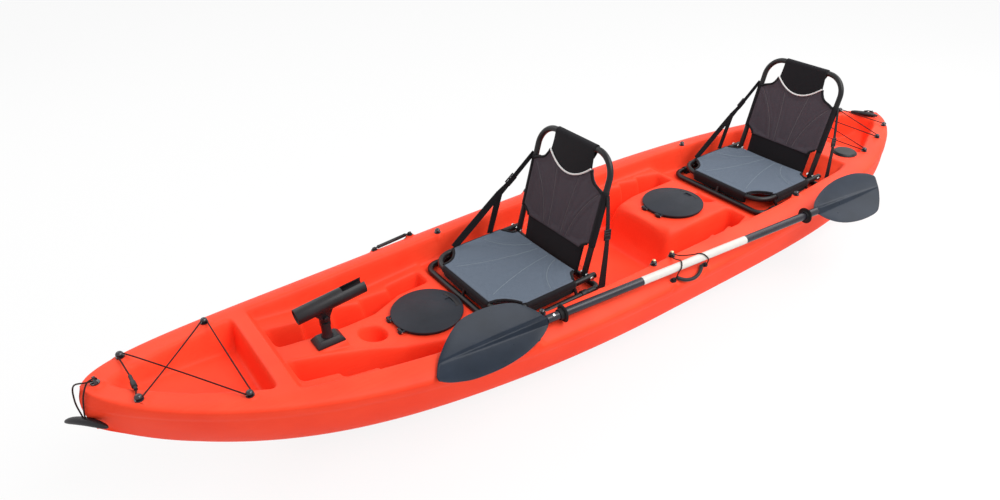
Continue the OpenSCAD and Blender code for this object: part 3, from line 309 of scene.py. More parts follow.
def closed_faces(rows, cols):
    """Faces of two sheets over one grid, the second one below, joined round their rim."""
    sheet, below = grid_faces(rows, cols), rows * cols
    rim = ([i * cols for i in range(rows)] + [(rows - 1) * cols + j for j in range(1, cols)]
           + [i * cols + cols - 1 for i in range(rows - 2, -1, -1)] + list(range(cols - 2, 0, -1)))
    walls = [(b, a, a + below, b + below) for a, b in zip(rim, rim[1:] + rim[:1])]
    return list(sheet[:, ::-1]) + list(sheet + below) + walls


def loft_faces(rows, sides):
    """Faces of a tube of rings, with its two ends."""
    around = [(k, (k + 1) % sides) for k in range(sides)]
    walls = [(i * sides + k, i * sides + n, (i + 1) * sides + n, (i + 1) * sides + k)
             for i in range(rows - 1) for k, n in around]
    return walls + [tuple(range(sides - 1, -1, -1)), tuple(range((rows - 1) * sides, rows * sides))]


def applied(obj):
    """The object with its modifiers made into its mesh."""
    graph = bpy.context.evaluated_depsgraph_get()
    mesh = bpy.data.meshes.new_from_object(obj.evaluated_get(graph))
    obj.modifiers.clear()
    obj.data = mesh
    return obj


def welded(node):
    """A CAD node as one joined mesh to work on."""
    bm = bmesh.new()
    bm.from_mesh(nodes[node].data)
    bmesh.ops.remove_doubles(bm, verts=bm.verts, dist=WELD)
    return bm


def softened(node, width, look=None):
    """A rigid CAD node with its edges broken, as moulded and machined pieces have them."""
    mesh = nodes[node].data.copy()
    bm = welded(node)
    bmesh.ops.dissolve_limit(bm, angle_limit=math.radians(0.6), verts=bm.verts, edges=bm.edges)
    bm.to_mesh(mesh)
    bm.free()
    obj = added(node + "_dressed", mesh)
    if "custom_normal" in mesh.attributes:
        mesh.attributes.remove(mesh.attributes["custom_normal"])
    bevel = obj.modifiers.new("edges", "BEVEL")
    bevel.width = width
    bevel.segments = 2
    bevel.limit_method = "ANGLE"
    bevel.angle_limit = SHARP
    bevel.harden_normals = False
    applied(obj)
    obj.data.shade_smooth()
    obj.data.set_sharp_from_angle(angle=SHARP)
    return link_piece(obj, bodies_of[node], look or slot_of[node], [node])


def dress(node):
    """A CAD node whose shape is right, with a better material."""
    nodes[node].data.materials.clear()
    nodes[node].data.materials.append(looks[slot_of[node]])


def solids(node):
    """Lowest and highest corner of each separate solid of a CAD node."""
    bm = welded(node)
    left = set(bm.verts)
    found = []
    while left:
        grown, group = [left.pop()], []
        while grown:
            v = grown.pop()
            group.append(v.co[:])
            for e in v.link_edges:
                other = e.other_vert(v)
                if other in left:
                    left.remove(other)
                    grown.append(other)
        found.append((np.min(group, 0), np.max(group, 0)))
    bm.free()
    return sorted(found, key=lambda b: (b[0][0], b[0][1]))


def spun(name, column, body, slot, look, replaced=(), steps=32):
    """Piece round an axis: column gives its points, from one end to the other, at a turn in radians."""
    verts, faces = [], []
    for k in range(steps):
        verts += column(math.tau * k / steps)
    rows = len(verts) // steps
    for k in range(steps):
        here, there = k * rows, (k + 1) % steps * rows
        faces += [(here + i, there + i, there + i + 1, here + i + 1) for i in range(rows - 1)]
    return mend_normals(mesh_piece(name, verts, faces, body, slot, look, replaced), WELD / 2)


def lathe(name, profile, body, slot, look, at):
    """Turned piece: profile of (radius, height) about a point's Z, closed where a radius is 0."""
    def column(a):
        return [Vector(at) + Vector((r * math.cos(a), r * math.sin(a), z)) for r, z in profile]
    return spun(name, column, body, slot, look)


def round_curve(name, diameter):
    curve = bpy.data.curves.new(name, "CURVE")
    curve.dimensions = "3D"
    curve.bevel_depth = diameter / 2
    curve.bevel_resolution = 3
    return curve


def add_spline(curve, kind, points):
    spline = curve.splines.new(kind)
    spline.points.add(len(points) - 1)
    for target, p in zip(spline.points, points):
        target.co = (*p, 1)
    return spline


def rope(name, points, diameter, body, look, replaced=()):
    """Round cord through points, as one smooth curve."""
    curve = round_curve(name, diameter)
    curve.resolution_u = 6
    curve.use_fill_caps = True
    spline = add_spline(curve, "NURBS", points)
    spline.use_endpoint_u = True
    spline.order_u = 4
    return link_piece(added(name, curve), body, look, replaced)


# Hull
HALF_L, BEAM = 1.85, 0.86
EDGE_MID, EDGE_BOW, EDGE_STERN = 0.294, 0.492, 0.297
CROWN_MID, CROWN_BOW, CROWN_STERN = 0.335, 0.496, 0.306
GUNWALE, KEEL_W = 0.108, 0.120
BOW_RISE, STERN_RISE = 0.350, 0.124
EDGE_ROUND = 0.009     # radius of the gunwale's outer edge
STRAKE = 0.034         # depth of the upright band below that edge
STRAKE_STEP, STRAKE_RAMP = 0.004, 0.012     # how far the side below it stands in, and over what depth
FILLET = 0.0055        # softness of the moulded corners
GRID = 0.005           # spacing of the deck mesh
CONSOLE_ROUND = 0.018  # softness of the rear console's front corners
CONSOLE_CORNER = (0.155, 0.165, 0.075, 0.075)   # their place and reach


def unit(x):
    return np.clip(x, 0, 1)


def share(x):
    return np.minimum(0.998, np.abs(x) / HALF_L)


def half_beam(x):
    s = share(x)
    return BEAM / 2 * np.where(x < 0, (1 - s ** 2.34) ** 0.60, (1 - s ** 2.64) ** 0.65)


def edge_z(x):
    return EDGE_MID + np.where(x < 0, EDGE_BOW - EDGE_MID, EDGE_STERN - EDGE_MID) * share(x) ** 3.1


def crown_z(x):
    s = share(x)
    return CROWN_MID + np.where(x < 0, (CROWN_BOW - CROWN_MID) * s ** 3.7, (CROWN_STERN - CROWN_MID) * s)


def keel_z(x):
    rise = np.maximum(0, (share(x) - 0.4) / 0.6)
    return np.where(x < 0, BOW_RISE * rise ** 3.4, STERN_RISE * rise ** 2.66)


def lip(x):
    return GUNWALE * (2 * half_beam(x) / BEAM) ** 1.3


def rail(x, inset):
    t = unit(inset / lip(x))
    return edge_z(x) + (crown_z(x) - edge_z(x)) * (1 - (1 - t) ** 2.4)


def scalar(f, x):
    return float(f(np.float64(x)))


# Recesses: inset from the hull's edge, or the deck's from its gunwale, and breadth of the sloping wall
DECK, BOW, WELL, STERN = (0.002, 0.018), (0.082, 0.024), (0.150, 0.022), (0.078, 0.030)


def section(x, z, kind):
    """Section of a recess across the boat: x, its four edges from port, and its floor's height."""
    inset, slope = kind
    top = max(0.006, scalar(half_beam, x) - (scalar(lip, x) if kind is DECK else 0) - inset)
    floor = max(0.003, top - slope)
    return (x, -top, -floor, floor, top, z)


def well_section(x, inner, brace, z):
    """Section of a footwell, from its inner wall out to the hull's side."""
    inset, slope = WELL
    outer = scalar(half_beam, x) - inset - brace
    return (x, inner, min(inner + slope, outer - 0.040), outer - slope, outer, z)


# Half width of the front console, and height of the front footwells' floor, along the boat
CONSOLE = ((-1.330, -1.150, -1.000, -0.932, -0.836, -0.724),
           (0.042, 0.062, 0.092, 0.140, 0.1575, 0.1515))
HEEL = ((-1.330, -1.270, -1.070, -0.744), (0.140, 0.110, 0.110, 0.190))
BRACE = 0.026          # depth of a footwell's step
FRONT_WELL, FRONT_STEP = -1.330, 0.115      # where the front footwells start, and the length of a step
REAR_WELL, REAR_STEP = 0.110, 0.100
REAR_CONSOLE, REAR_FLOOR = 0.1555, 0.110    # the rear console's half width, and those wells' floor


def front_section(x, brace):
    return well_section(x, np.interp(x, *CONSOLE), brace, np.interp(x, *HEEL))


def mirrored(edges):
    x, a, b, c, d, z = edges
    return (x, -d, -c, -b, -a, z)


def deck_recesses():
    """The sections of every recess that is sunk into the deck."""
    deck = [(-1.358, 0.354), (-1.336, 0.340), (-0.9755, 0.262), (-0.712, 0.262), (-0.700, 0.251),
            (-0.225, 0.251), (-0.213, 0.262), (0.104, 0.278), (0.519, 0.278), (0.609, 0.225), (1.084, 0.225),
            (1.174, scalar(crown_z, 1.174) - 0.006)]
    bow = [(d - HALF_L, scalar(crown_z, d - HALF_L) - depth) for d, depth in (
        (0.072, 0.012), (0.110, 0.048), (0.240, 0.070), (0.400, 0.092), (0.425, 0.092))]
    rear = [(-0.209, 0.180), (-0.139, 0.110), (0.123, 0.110)]
    stern = [(1.335, scalar(crown_z, 1.335) - 0.050), (1.365, 0.195), (1.685, 0.195), (1.745, 0.235)]
    found = [[section(x, z, kind) for x, z in line]
             for line, kind in ((deck, DECK), (bow, BOW), (rear, WELL), (stern, STERN))]
    found[2].append((0.160, -0.205, -0.190, 0.190, 0.205, 0.170))
    sided = [[front_section(-0.870, 0), front_section(-0.744, 0)]]
    for i in range(4):
        sided.append([front_section(FRONT_WELL + FRONT_STEP * (i + k), k * BRACE) for k in (0, 1)])
        sided.append([well_section(REAR_WELL + REAR_STEP * (i + k), REAR_CONSOLE, k * BRACE, REAR_FLOOR)
                      for k in (0, 1)])
    return found + sided + [[mirrored(s) for s in recess] for recess in sided]


CUPS = ((-1.040, 0.0, 0.272), (0.518, -0.037, 0.278))
CUP_R, CUP_DEPTH = 0.0395, 0.062
HATCHES = (-0.836, 0.354)
HATCH_CUT = 0.102
SCUPPERS = [(x, s * y) for x, y in ((-1.140, 0.125), (-0.059, 0.120), (1.525, 0.070)) for s in (-1, 1)]
SCUPPER_R = 0.015
FLUSH = (1.270, 0.190)
FLUSH_CUT = 0.034
FLUSH_RIM = 0.004      # thickness of a flush rod holder's flange
FLUSH_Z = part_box("flush_rod_holders")[1].z - FLUSH_RIM
EYELET_PAD, ANCHOR_PAD, FLUSH_PAD = 0.0125, 0.0115, 0.054    # radii of the flats under fittings
PAD_FLAT, PAD_RAMP = 0.002, 0.007   # how far a flat goes on past them, and its slope
BRIM = 0.004           # how far above the crown a recess's walls start


def blurred(field, sigma):
    reach = int(3 * sigma) + 1
    kernel = np.exp(-0.5 * (np.arange(-reach, reach + 1) / sigma) ** 2)
    kernel /= kernel.sum()
    for axis in (0, 1):
        pad = [(0, 0), (0, 0)]
        pad[axis] = (reach, reach)
        wide = np.pad(field, pad, mode="edge")
        size = field.shape[axis]
        field = sum(k * np.take(wide, np.arange(i, i + size), axis) for i, k in enumerate(kernel))
    return field


def boss_pads():
    """Flats that the fittings stand on: x, y, height, half length, half width, round or not."""
    pads = []
    for node in ("bow_eyelets", "gunwale_eyelets", "stern_eyelets", "handle_anchors"):
        r = ANCHOR_PAD if node == "handle_anchors" else EYELET_PAD
        pads += [(*(low + high)[:2] / 2, low[2], r, r, True) for low, high in solids(node)]
    pads += [(FLUSH[0], side * FLUSH[1], FLUSH_Z, FLUSH_PAD, FLUSH_PAD, True) for side in (-1, 1)]
    low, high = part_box("rod_base")
    middle, half = (low + high) / 2, (high - low) / 2
    return pads + [(middle.x, middle.y, low.z, half.x, half.y, False)]


class Deck:
    """Height of the deck on a fine regular grid, with moulded fillets."""

    step = 0.0025
    margin_x, margin_y = 0.02, 0.03

    def __init__(self):
        self.x = np.arange(-HALF_L - self.margin_x, HALF_L + self.margin_x, self.step)
        self.y = np.arange(-BEAM / 2 - self.margin_y, BEAM / 2 + self.margin_y, self.step)
        x, y = np.meshgrid(self.x, self.y, indexing="ij")
        height = rail(x, half_beam(x) - np.abs(y))
        brim = crown_z(self.x) + BRIM
        for recess in deck_recesses():
            cols = np.array(recess, float).T
            inside = (self.x >= cols[0][0]) & (self.x <= cols[0][-1])
            a, b, c, d, z = (np.interp(self.x, cols[0], col)[inside][:, None] for col in cols[1:])
            top = np.maximum(z + 0.001, brim[inside][:, None])
            yy = y[inside]
            cut = z + (top - z) * np.maximum(0, np.maximum((b - yy) / (b - a), (yy - c) / (d - c)))
            height[inside] = np.where((yy > a) & (yy < d), np.minimum(height[inside], cut), height[inside])
        for cx, cy, cz in CUPS:
            r = np.hypot(x - cx, y - cy)
            height = np.where(r < CUP_R, np.minimum(height, cz - CUP_DEPTH), height)
        height = blurred(height, FILLET / self.step)
        corner_x, corner_y, reach_x, reach_y = CONSOLE_CORNER
        soft = np.exp(-((x - corner_x) / reach_x) ** 2 - ((np.abs(y) - corner_y) / reach_y) ** 2)
        height += soft * (blurred(height, CONSOLE_ROUND / self.step) - height)
        for cx, cy, z, half_x, half_y, is_round in boss_pads():
            if is_round:
                off = np.hypot(x - cx, y - cy) - half_x
            else:
                past = [np.maximum(0, g) for g in (np.abs(x - cx) - half_x, np.abs(y - cy) - half_y)]
                off = np.hypot(*past)
            blend = unit(1 - (off - PAD_FLAT) / PAD_RAMP)
            blend = blend * blend * (3 - 2 * blend)
            height += blend * (z - height)
        self.height = height

    def __call__(self, x, y):
        i = np.clip((x - self.x[0]) / self.step, 0, len(self.x) - 1.001)
        j = np.clip((y - self.y[0]) / self.step, 0, len(self.y) - 1.001)
        a, b = i.astype(int), j.astype(int)
        u, v = i - a, j - b
        h = self.height
        return ((1 - u) * (1 - v) * h[a, b] + u * (1 - v) * h[a + 1, b]
                + (1 - u) * v * h[a, b + 1] + u * v * h[a + 1, b + 1])


deck = Deck()
RIM = 0.012            # breadth of the gunwale that belongs to the side skin
RIM_SHARE = 0.6        # most of the half beam that it takes near the ends
BOTTOM = 0.985         # share of a section's depth where its flat bottom begins
NOSE = 0.010           # length over which the blunt ends round off
STEM, STEM_FROM = 0.014, 1.60       # swell of the stem below the deck, and where it starts


def nose(x):
    """Share of its beam that a section keeps where the ends round off."""
    t = unit((np.abs(x) - (HALF_L - NOSE)) / NOSE)
    return np.sqrt(1 - (0.92 * t) ** 2)


def breadth(x):
    return half_beam(x) * nose(x)


def rim_drop(inset):
    """Fall of the gunwale towards its rounded outer edge."""
    t = unit(1 - inset / EDGE_ROUND)
    return EDGE_ROUND * (1 - np.sqrt(np.maximum(0, 1 - t * t)))


def stations(step, rounds):
    """Places along the hull for its sections, closer together where the ends round off."""
    ends = NOSE * (1 - np.cos(np.linspace(0, math.pi / 2, rounds)))
    between = np.arange(-HALF_L + NOSE + step, HALF_L - NOSE - step / 2, step)
    return np.concatenate([-HALF_L + ends, between, (HALF_L - ends)[::-1]])


def side_shape(x, w):
    """Share of its beam that a section keeps at a share w of its depth."""
    flare = 0.27 + np.where(x < 0, 0.48, -0.40) * share(x) ** 2
    bilge = 7.6 - np.where(x < 0, 6.2, 3.3) * share(x) ** 2
    return (1 - flare * w) * np.sqrt(np.maximum(0, 1 - w ** bilge))


def deck_piece(name, x):
    """One stretch of the deck, with the holes for hatches, drains and rod tubes left out."""
    across = np.linspace(-1, 1, int(BEAM / GRID) + 1)
    xx, ss = np.meshgrid(x, across, indexing="ij")
    inner = np.maximum(0.0005, breadth(xx) - np.minimum(RIM, RIM_SHARE * breadth(xx)))
    yy = ss * inner
    zz = deck(xx, yy)
    faces = grid_faces(*xx.shape)
    cx, cy = (v.ravel()[faces].mean(1) for v in (xx, yy))
    keep = np.ones(len(faces), bool)
    for hx in HATCHES:
        keep &= np.hypot(cx - hx, cy) > HATCH_CUT
    for sx, sy in SCUPPERS:
        keep &= np.hypot(cx - sx, cy - sy) > SCUPPER_R + 0.002
    keep &= np.hypot(cx - FLUSH[0], np.abs(cy) - FLUSH[1]) > FLUSH_CUT
    verts = np.stack([xx, yy, zz], 2).reshape(-1, 3)
    mesh_piece(name, verts, faces[keep], "hull", "orange_shell", replaced=["hull_shell"])


def side_skin():
    """Gunwale edge, strake, sides and bottom, as one skin from edge to edge."""
    x = stations(2 * GRID, 7)
    w = np.concatenate([np.linspace(0, 1, 34)[:-1] ** 0.9 * BOTTOM, [BOTTOM]])
    insets = np.array([1.0, 0.75, 0.5, 0.3, 0.18, 0.09, 0.03, 0.0]) * RIM
    xx = x[:, None]
    outer, edge, keel = breadth(xx), edge_z(xx), keel_z(xx)
    scale = np.minimum(1, RIM_SHARE * outer / RIM)
    top_y = outer - insets * scale
    top_z = deck(np.broadcast_to(xx, top_y.shape), top_y) - rim_drop(insets)
    start = edge - EDGE_ROUND
    side_z = start + (keel - start) * w + (top_z[:, -1:] - start) * np.exp(-(w / 0.05) ** 2)
    step = STRAKE_STEP * unit((start - side_z - STRAKE) / STRAKE_RAMP) * np.minimum(1, outer / 0.05)
    side_y = outer * side_shape(xx, w) - step
    flat = np.minimum(KEEL_W / 2, 0.8 * side_y[:, -1:])
    half_y = np.concatenate([top_y, side_y[:, 1:], flat, flat * 0.5], 1)
    half_z = np.concatenate([top_z, side_z[:, 1:], keel, keel], 1)
    ring_y = np.concatenate([half_y, np.zeros_like(flat), -half_y[:, ::-1]], 1)
    ring_z = np.concatenate([half_z, keel, half_z[:, ::-1]], 1)
    depth = unit((start - ring_z) / (start - keel))
    swell = STEM * unit((-xx - STEM_FROM) / (HALF_L - STEM_FROM)) ** 2
    stem = swell * np.sin(math.pi * depth ** 0.7)
    verts = np.stack([xx - stem, ring_y, ring_z], 2).reshape(-1, 3)
    faces = grid_faces(*ring_y.shape)
    cx, cy, cz = verts[faces].mean(1).T
    keep = np.ones(len(faces), bool)
    for sx, sy in SCUPPERS:
        keep &= (np.hypot(cx - sx, cy - sy) > SCUPPER_R + 0.004) | (cz > 0.15)
    cols = ring_y.shape[1]
    caps = [list(range(cols)), list(range(len(verts) - 1, len(verts) - cols - 1, -1))]
    faces = list(faces[keep]) + caps
    mesh_piece("hull_sides", verts, faces, "hull", "orange_shell", replaced=["hull_shell"])


deck_x = stations(GRID, 5)
parting = int(np.searchsorted(deck_x, -0.05))
deck_piece("deck_fore", deck_x[:parting + 1])
deck_piece("deck_aft", deck_x[parting:])
side_skin()


def skin_z(x, y):
    """Height of the hull's bottom under a point near the keel."""
    w = np.linspace(0, 1, 400)
    depth = np.interp(-abs(y), -half_beam(x) * side_shape(x, w), w)
    return float(edge_z(x) + (keel_z(x) - edge_z(x)) * depth)


for k, (sx, sy) in enumerate(SCUPPERS):
    top, foot = float(deck(np.float64(sx), np.float64(sy))), skin_z(np.float64(sx), sy)
    collar = [(0.010, top - 0.001), (0.008, top + 0.0012), (0.002, top + 0.0004), (0, top - 0.003),
              (-0.001, (top + foot) / 2), (0.003, foot + 0.010)]
    profile = [(SCUPPER_R + out, z) for out, z in collar]
    lathe(f"scupper_{k}", profile, "hull", "orange_shell", "orange_shell", (sx, sy, 0))


# Lashing, toggles and the paddle's keeper
CORD = 0.0042
WRAP_R, WRAP_H = 0.008, 0.0075      # a cord's way round a button, and its height there
STRAND = 0.0031                     # half the spacing of a toggle's two strands
EYE_PIN = 0.012                     # height of a pad eye's cross pin
CORD_LOOP = 0.0058                  # radius of a toggle cord round that pin


def through(points, per=7):
    """Smooth path through points, with no overshoot where their spacing changes."""
    p = [np.array(q, float) for q in points]
    p = [2 * p[0] - p[1]] + p + [2 * p[-1] - p[-2]]
    path = []
    for a, b, c, d in zip(p, p[1:], p[2:], p[3:]):
        t1 = np.linalg.norm(b - a) ** 0.5
        t2 = t1 + np.linalg.norm(c - b) ** 0.5
        t3 = t2 + np.linalg.norm(d - c) ** 0.5
        for t in np.linspace(t1, t2, per, endpoint=False):
            ab = (a * (t1 - t) + b * t) / t1
            bc = (b * (t2 - t) + c * (t - t1)) / (t2 - t1)
            cd = (c * (t3 - t) + d * (t - t2)) / (t3 - t2)
            abc = (ab * (t2 - t) + bc * t) / t2
            bcd = (bc * (t3 - t) + cd * (t - t1)) / (t3 - t1)
            path.append((abc * (t2 - t) + bcd * (t - t1)) / (t2 - t1))
    return path + [p[-2]]


def cord(name, route, body, node):
    """One of the boat's cords, through the points of its route."""
    rope(name, through(route), CORD, body, "cord", [node])


def standing(node):
    """Foot of each fitting of a CAD node, from bow to stern and from starboard to port."""
    feet = [Vector(((a[0] + b[0]) / 2, (a[1] + b[1]) / 2, a[2])) for a, b in solids(node)]
    return sorted(feet, key=lambda p: (round(p.x, 2), -p.y))


def round_button(a, c, b):
    """The cord's way round the outside of button c, coming from a and going on to b."""
    out = Vector((2 * c.x - a.x - b.x, 2 * c.y - a.y - b.y, 0)).normalized()
    side = Vector((-out.y, out.x, 0))
    turn = 1 if (a.x - c.x) * side.x + (a.y - c.y) * side.y > 0 else -1
    return [c + Vector((0, 0, WRAP_H)) + WRAP_R * (out * math.cos(w) + side * turn * math.sin(w))
            for w in map(math.radians, (100, 50, 0, -50, -100))]


bow_tip, bow_a, bow_c, bow_b, bow_d = standing("bow_eyelets")
hook_low, hook_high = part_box("bungee_hook")
hook_from = Vector(((hook_low.x + hook_high.x) / 2, hook_low.y, (hook_low.z + hook_high.z) / 2))
hook_to = Vector((hook_from.x, hook_high.y, hook_from.z))
hook_gap = Vector((0, 0.0009, 0))
crossing = Vector((0, 0, CORD / 2 + 0.001))
wrap_rise = Vector((0, 0, WRAP_H))
bow_route = ([hook_to + hook_gap] + round_button(hook_to, bow_a, bow_d)
             + [(bow_a + bow_d) / 2 + wrap_rise + crossing] + round_button(bow_a, bow_d, bow_b)
             + round_button(bow_d, bow_b, bow_c) + [(bow_b + bow_c) / 2 + wrap_rise - crossing]
             + round_button(bow_b, bow_c, hook_from) + [hook_from - hook_gap])
cord("bow_lashing", bow_route, "hull", "bow_bungee")

*stern, stern_tip = standing("stern_eyelets")
stern_order = stern[::-1]
first, last = stern_order[0], stern_order[-1]
stern_path = [first + Vector((WRAP_R, -WRAP_R, WRAP_H)), first + Vector((WRAP_R, 0, WRAP_H))]
for a, c, b in zip(stern_order, stern_order[1:], stern_order[2:]):
    stern_path += round_button(a, c, b)
stern_path += [last + Vector((-WRAP_R, 0, WRAP_H)), last + Vector((-WRAP_R, WRAP_R, WRAP_H))]
cord("stern_lashing", stern_path, "hull", "stern_bungee")


def pin_loop(pin):
    """A cord's way over the cross pin of a pad eye."""
    turns = [math.radians(w) for w in (110, 70, 30, -10, -50, -90)]
    return [pin + Vector((CORD_LOOP * math.cos(w), -STRAND * math.sin(0.9 * w), CORD_LOOP * math.sin(w)))
            for w in turns]


def crescent(name, at, way, length, droop, body, node):
    """Carrying toggle: a bar that is thick in the middle, thins to both ends and bends down there."""
    thick, rows, sides = 0.022, 29, 20
    way = Vector(way).normalized()
    across = Vector((0, 0, 1)).cross(way).normalized()
    rise = way.cross(across)
    verts = []
    for i in range(rows):
        t = 2 * i / (rows - 1) - 1
        tip = math.sqrt(max(0.0, 1 - abs(t) ** 7))
        r = thick / 2 * (1 - 0.42 * t * t) * max(tip, 0.02)
        centre = at + way * (t * length / 2) - rise * (droop * t * t)
        for k in range(sides):
            a = math.tau * k / sides
            grip = 1 + 0.05 * math.cos(14 * math.pi * t) * (abs(t) < 0.55) * max(0, -math.sin(a))
            verts.append(centre + across * (1.12 * r * math.cos(a)) + rise * (r * grip * math.sin(a)))
    mesh_piece(name, verts, loft_faces(rows, sides), body, "black_plastic", replaced=[node])


bow_pin = bow_tip + Vector((0, 0, EYE_PIN))
bow_toggle_at = bow_pin + Vector((-0.056, 0, -0.115))
bow_low = bow_toggle_at + Vector((0, 0, 0.0112))     # where the cord enters the toggle
crescent("bow_grab_toggle", bow_toggle_at, (0.62, -0.78, 0.10), 0.146, 0.012, "bow_pull", "bow_toggle")
port_strand = ((-0.046, -0.021, -0.062), (-0.034, -0.028, -0.014), (-0.017, -0.012, 0.006))
fore_strand = ((-0.020, STRAND, -0.003), (-0.046, 0.005, 0.001), (-0.058, 0.005, -0.046))
bow_cord = ([bow_low + Vector((0.004, -STRAND, 0))] + [bow_pin + Vector(v) for v in port_strand]
            + pin_loop(bow_pin) + [bow_pin + Vector(v) for v in fore_strand]
            + [bow_low + Vector((0, STRAND, 0))])
cord("bow_grab_cord", bow_cord, "bow_pull", "bow_toggle_cord")

stern_pin = stern_tip + Vector((0, 0, EYE_PIN))
stern_toggle_low, stern_toggle_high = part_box("stern_toggle")
stern_toggle_at = (stern_toggle_low + stern_toggle_high) / 2
stern_low = stern_toggle_at + Vector((0, 0, 0.0128))
crescent("stern_grab_toggle", stern_toggle_at, (0.4, -0.92, 0), 0.130, 0.0, "stern_pull", "stern_toggle")
stern_cord = ([stern_low + Vector((-0.003, -STRAND, 0)), stern_low + Vector((0.012, -STRAND, 0.001)),
               stern_pin + Vector((-0.014, -STRAND, 0.009))] + pin_loop(stern_pin)
              + [stern_pin + Vector((-0.013, STRAND, -0.002)), stern_low + Vector((0.012, STRAND, -0.002)),
                 stern_low + Vector((-0.001, STRAND, 0))])
cord("stern_grab_cord", stern_cord, "stern_pull", "stern_toggle_cord")

PADDLE_AT = Vector((0.008, -0.417, 0.358))
PADDLE_YAW, PADDLE_ROLL = math.radians(-4.6), math.radians(28)
KEEPER_R = 0.0179
keeper_button = [p for p in standing("gunwale_eyelets") if p.y < 0][2]
keeper_ends = sorted((p for p in standing("handle_anchors") if p.y < 0), key=lambda p: p.x)[2:]


def keeper_leg(end, e):
    """From a handle anchor up over the paddle shaft towards the button."""
    spread, from_turn = 0.068, 200
    leg = [end + Vector((0, -0.0083, 0.007))]
    for w in range(from_turn, 20, -20):
        x = keeper_button.x + e * (spread - (from_turn - w) * 0.0002)
        y = PADDLE_AT.y + (x - PADDLE_AT.x) * math.tan(PADDLE_YAW)
        a = math.radians(w)
        leg.append(Vector((x, y + KEEPER_R * math.cos(a), PADDLE_AT.z + KEEPER_R * math.sin(a))))
    return leg + [keeper_button + Vector((e * 0.014, -0.020, WRAP_H))]


fore_leg, aft_leg = keeper_leg(keeper_ends[0], -1), keeper_leg(keeper_ends[1], 1)
keeper_path = fore_leg + round_button(fore_leg[-1], keeper_button, aft_leg[-1]) + aft_leg[::-1]
cord("paddle_keeper_cord", keeper_path, "hull", "paddle_keeper")

# Paddle blades
BLADE_L, THROAT = 0.400, 0.628
# Along the blade, and out to its long and its short edge, in millimetres
BLADE_LINE = np.array([[0, 15.5, 15.5], [20, 33, 46], [65, 57, 83.8], [125, 77.2, 101.8],
                       [200, 89.2, 105.8], [262, 90.2, 96.8], [310, 86.2, 67.8], [345, 77.2, 38],
                       [375, 66.2, 6], [400, 50, -35]]) / 1000
paddle_frame = (Matrix.Translation(PADDLE_AT) @ Matrix.Rotation(PADDLE_YAW, 4, "Z")
                @ Matrix.Rotation(PADDLE_ROLL, 4, "X"))


def blade(name, turn, body, node):
    """Dished blade with a spine that dies out towards its tip."""
    line = np.array(through(BLADE_LINE, 9))
    cols = 81
    share_across = np.sin(np.linspace(-1, 1, cols) * math.pi / 2)
    layers = []
    for face in (1, -1):
        d, long_edge, short_edge = (c[:, None] for c in line.T)
        y = (long_edge - short_edge) / 2 + (long_edge + short_edge) / 2 * share_across
        centre = np.maximum(0, 0.006 - short_edge)
        spine = np.interp(d, (0, 0.05, 0.23, 0.33, BLADE_L), (0.0142, 0.0125, 0.0068, 0.0025, 0))
        ridge = spine * unit(1 - np.abs(y - centre) / (0.9 * spine + 0.004))
        edge = 1 - np.abs(share_across) ** 6        # thins the plate to its rim
        dish = 0.010 * (y / 0.1) ** 2 * unit(d / 0.06) - 0.004 * unit(d / BLADE_L) ** 2
        z = face * ((0.0008 + 0.0012 * edge) + ridge * edge) + dish
        layers.append(np.stack([d + 0 * y, y, z], 2))
    place = paddle_frame @ Matrix.Rotation(turn, 4, "Z") @ Matrix.Translation((THROAT, 0, 0))
    verts = [place @ Vector(v) for layer in layers for v in layer.reshape(-1, 3)]
    faces = closed_faces(len(line), cols)
    mend_normals(mesh_piece(name, verts, faces, body, "blade_plastic", replaced=[node]))


blade("front_blade_dished", math.pi, "paddle_front", "paddle_front_blade")
blade("rear_blade_dished", 0.0, "paddle_rear", "paddle_rear_blade")

# Seats: quilted panels, sleeves on the tubes, headrests and webbing
RECLINE = math.radians(15)
TUBE_R = 0.011
COVER_R = TUBE_R + 0.004            # outside of the cloth that lies round a tube
SEAT_HALF, SEAT_DEPTH = 0.217, 0.375
BACK_HALF, BACK_H = 0.190, 0.430
# The panels' outlines: along from the hinge, and half width
SEAT_LINE = np.array([[-0.375, 0.142], [-0.350, 0.146], [-0.324, 0.160], [-0.304, 0.184], [-0.290, 0.210],
                      [-0.276, 0.2155], [-0.078, 0.2155], [-0.068, 0.209], [-0.058, 0.190],
                      [-0.046, 0.172], [-0.026, 0.164]])
BACK_LINE = np.array([[0.082, 0.147], [0.096, 0.152], [0.108, 0.172], [0.118, 0.181], [0.300, 0.181],
                      [0.307, 0.172], [0.310, 0.158], [0.316, 0.140], [0.328, 0.125], [0.345, 0.114],
                      [0.360, 0.110]])
CORNERS = {"seat": (-0.285, -0.073), "back": (0.115, 0.298)}   # where the cut-outs at the corners begin
HEAD_HALF = 0.108      # half width of the headrest at the panel's dipped top edge
PANEL_DIP = 0.052
PAD_ROWS, PAD_COLS = 88, 80
# Seams: where they start, their way along, and the turn, length and foot of each
SEAMS = {"seat": (SEAT_LINE[-1, 0], -1, [(15, 0.340, 0.028), (46, 0.200, 0.066)]),
         "back": (BACK_LINE[0, 0], 1, [(7, 0.262, 0.034), (28, 0.245, 0.062)])}
WELT, BINDING, PIPING = 0.0026, 0.0105, 0.0066      # diameters of the sewn edges
STAY_Y = 0.2035                     # half the spacing of the stays at the posts
SEAM_HOLLOW = 0.016                 # reach of the hollow that a seam draws into a panel
STITCH_DEPTH, STITCH_WIDTH = 0.002, 0.004
CLOTH_SHIFT = 0.006                 # most that the filling moves a panel's cloth


def panel_edge(u):
    """The back panel's top edge, which dips below the headrest."""
    return BACK_LINE[-1, 0] - PANEL_DIP * np.maximum(0, 1 - (u / HEAD_HALF) ** 2)


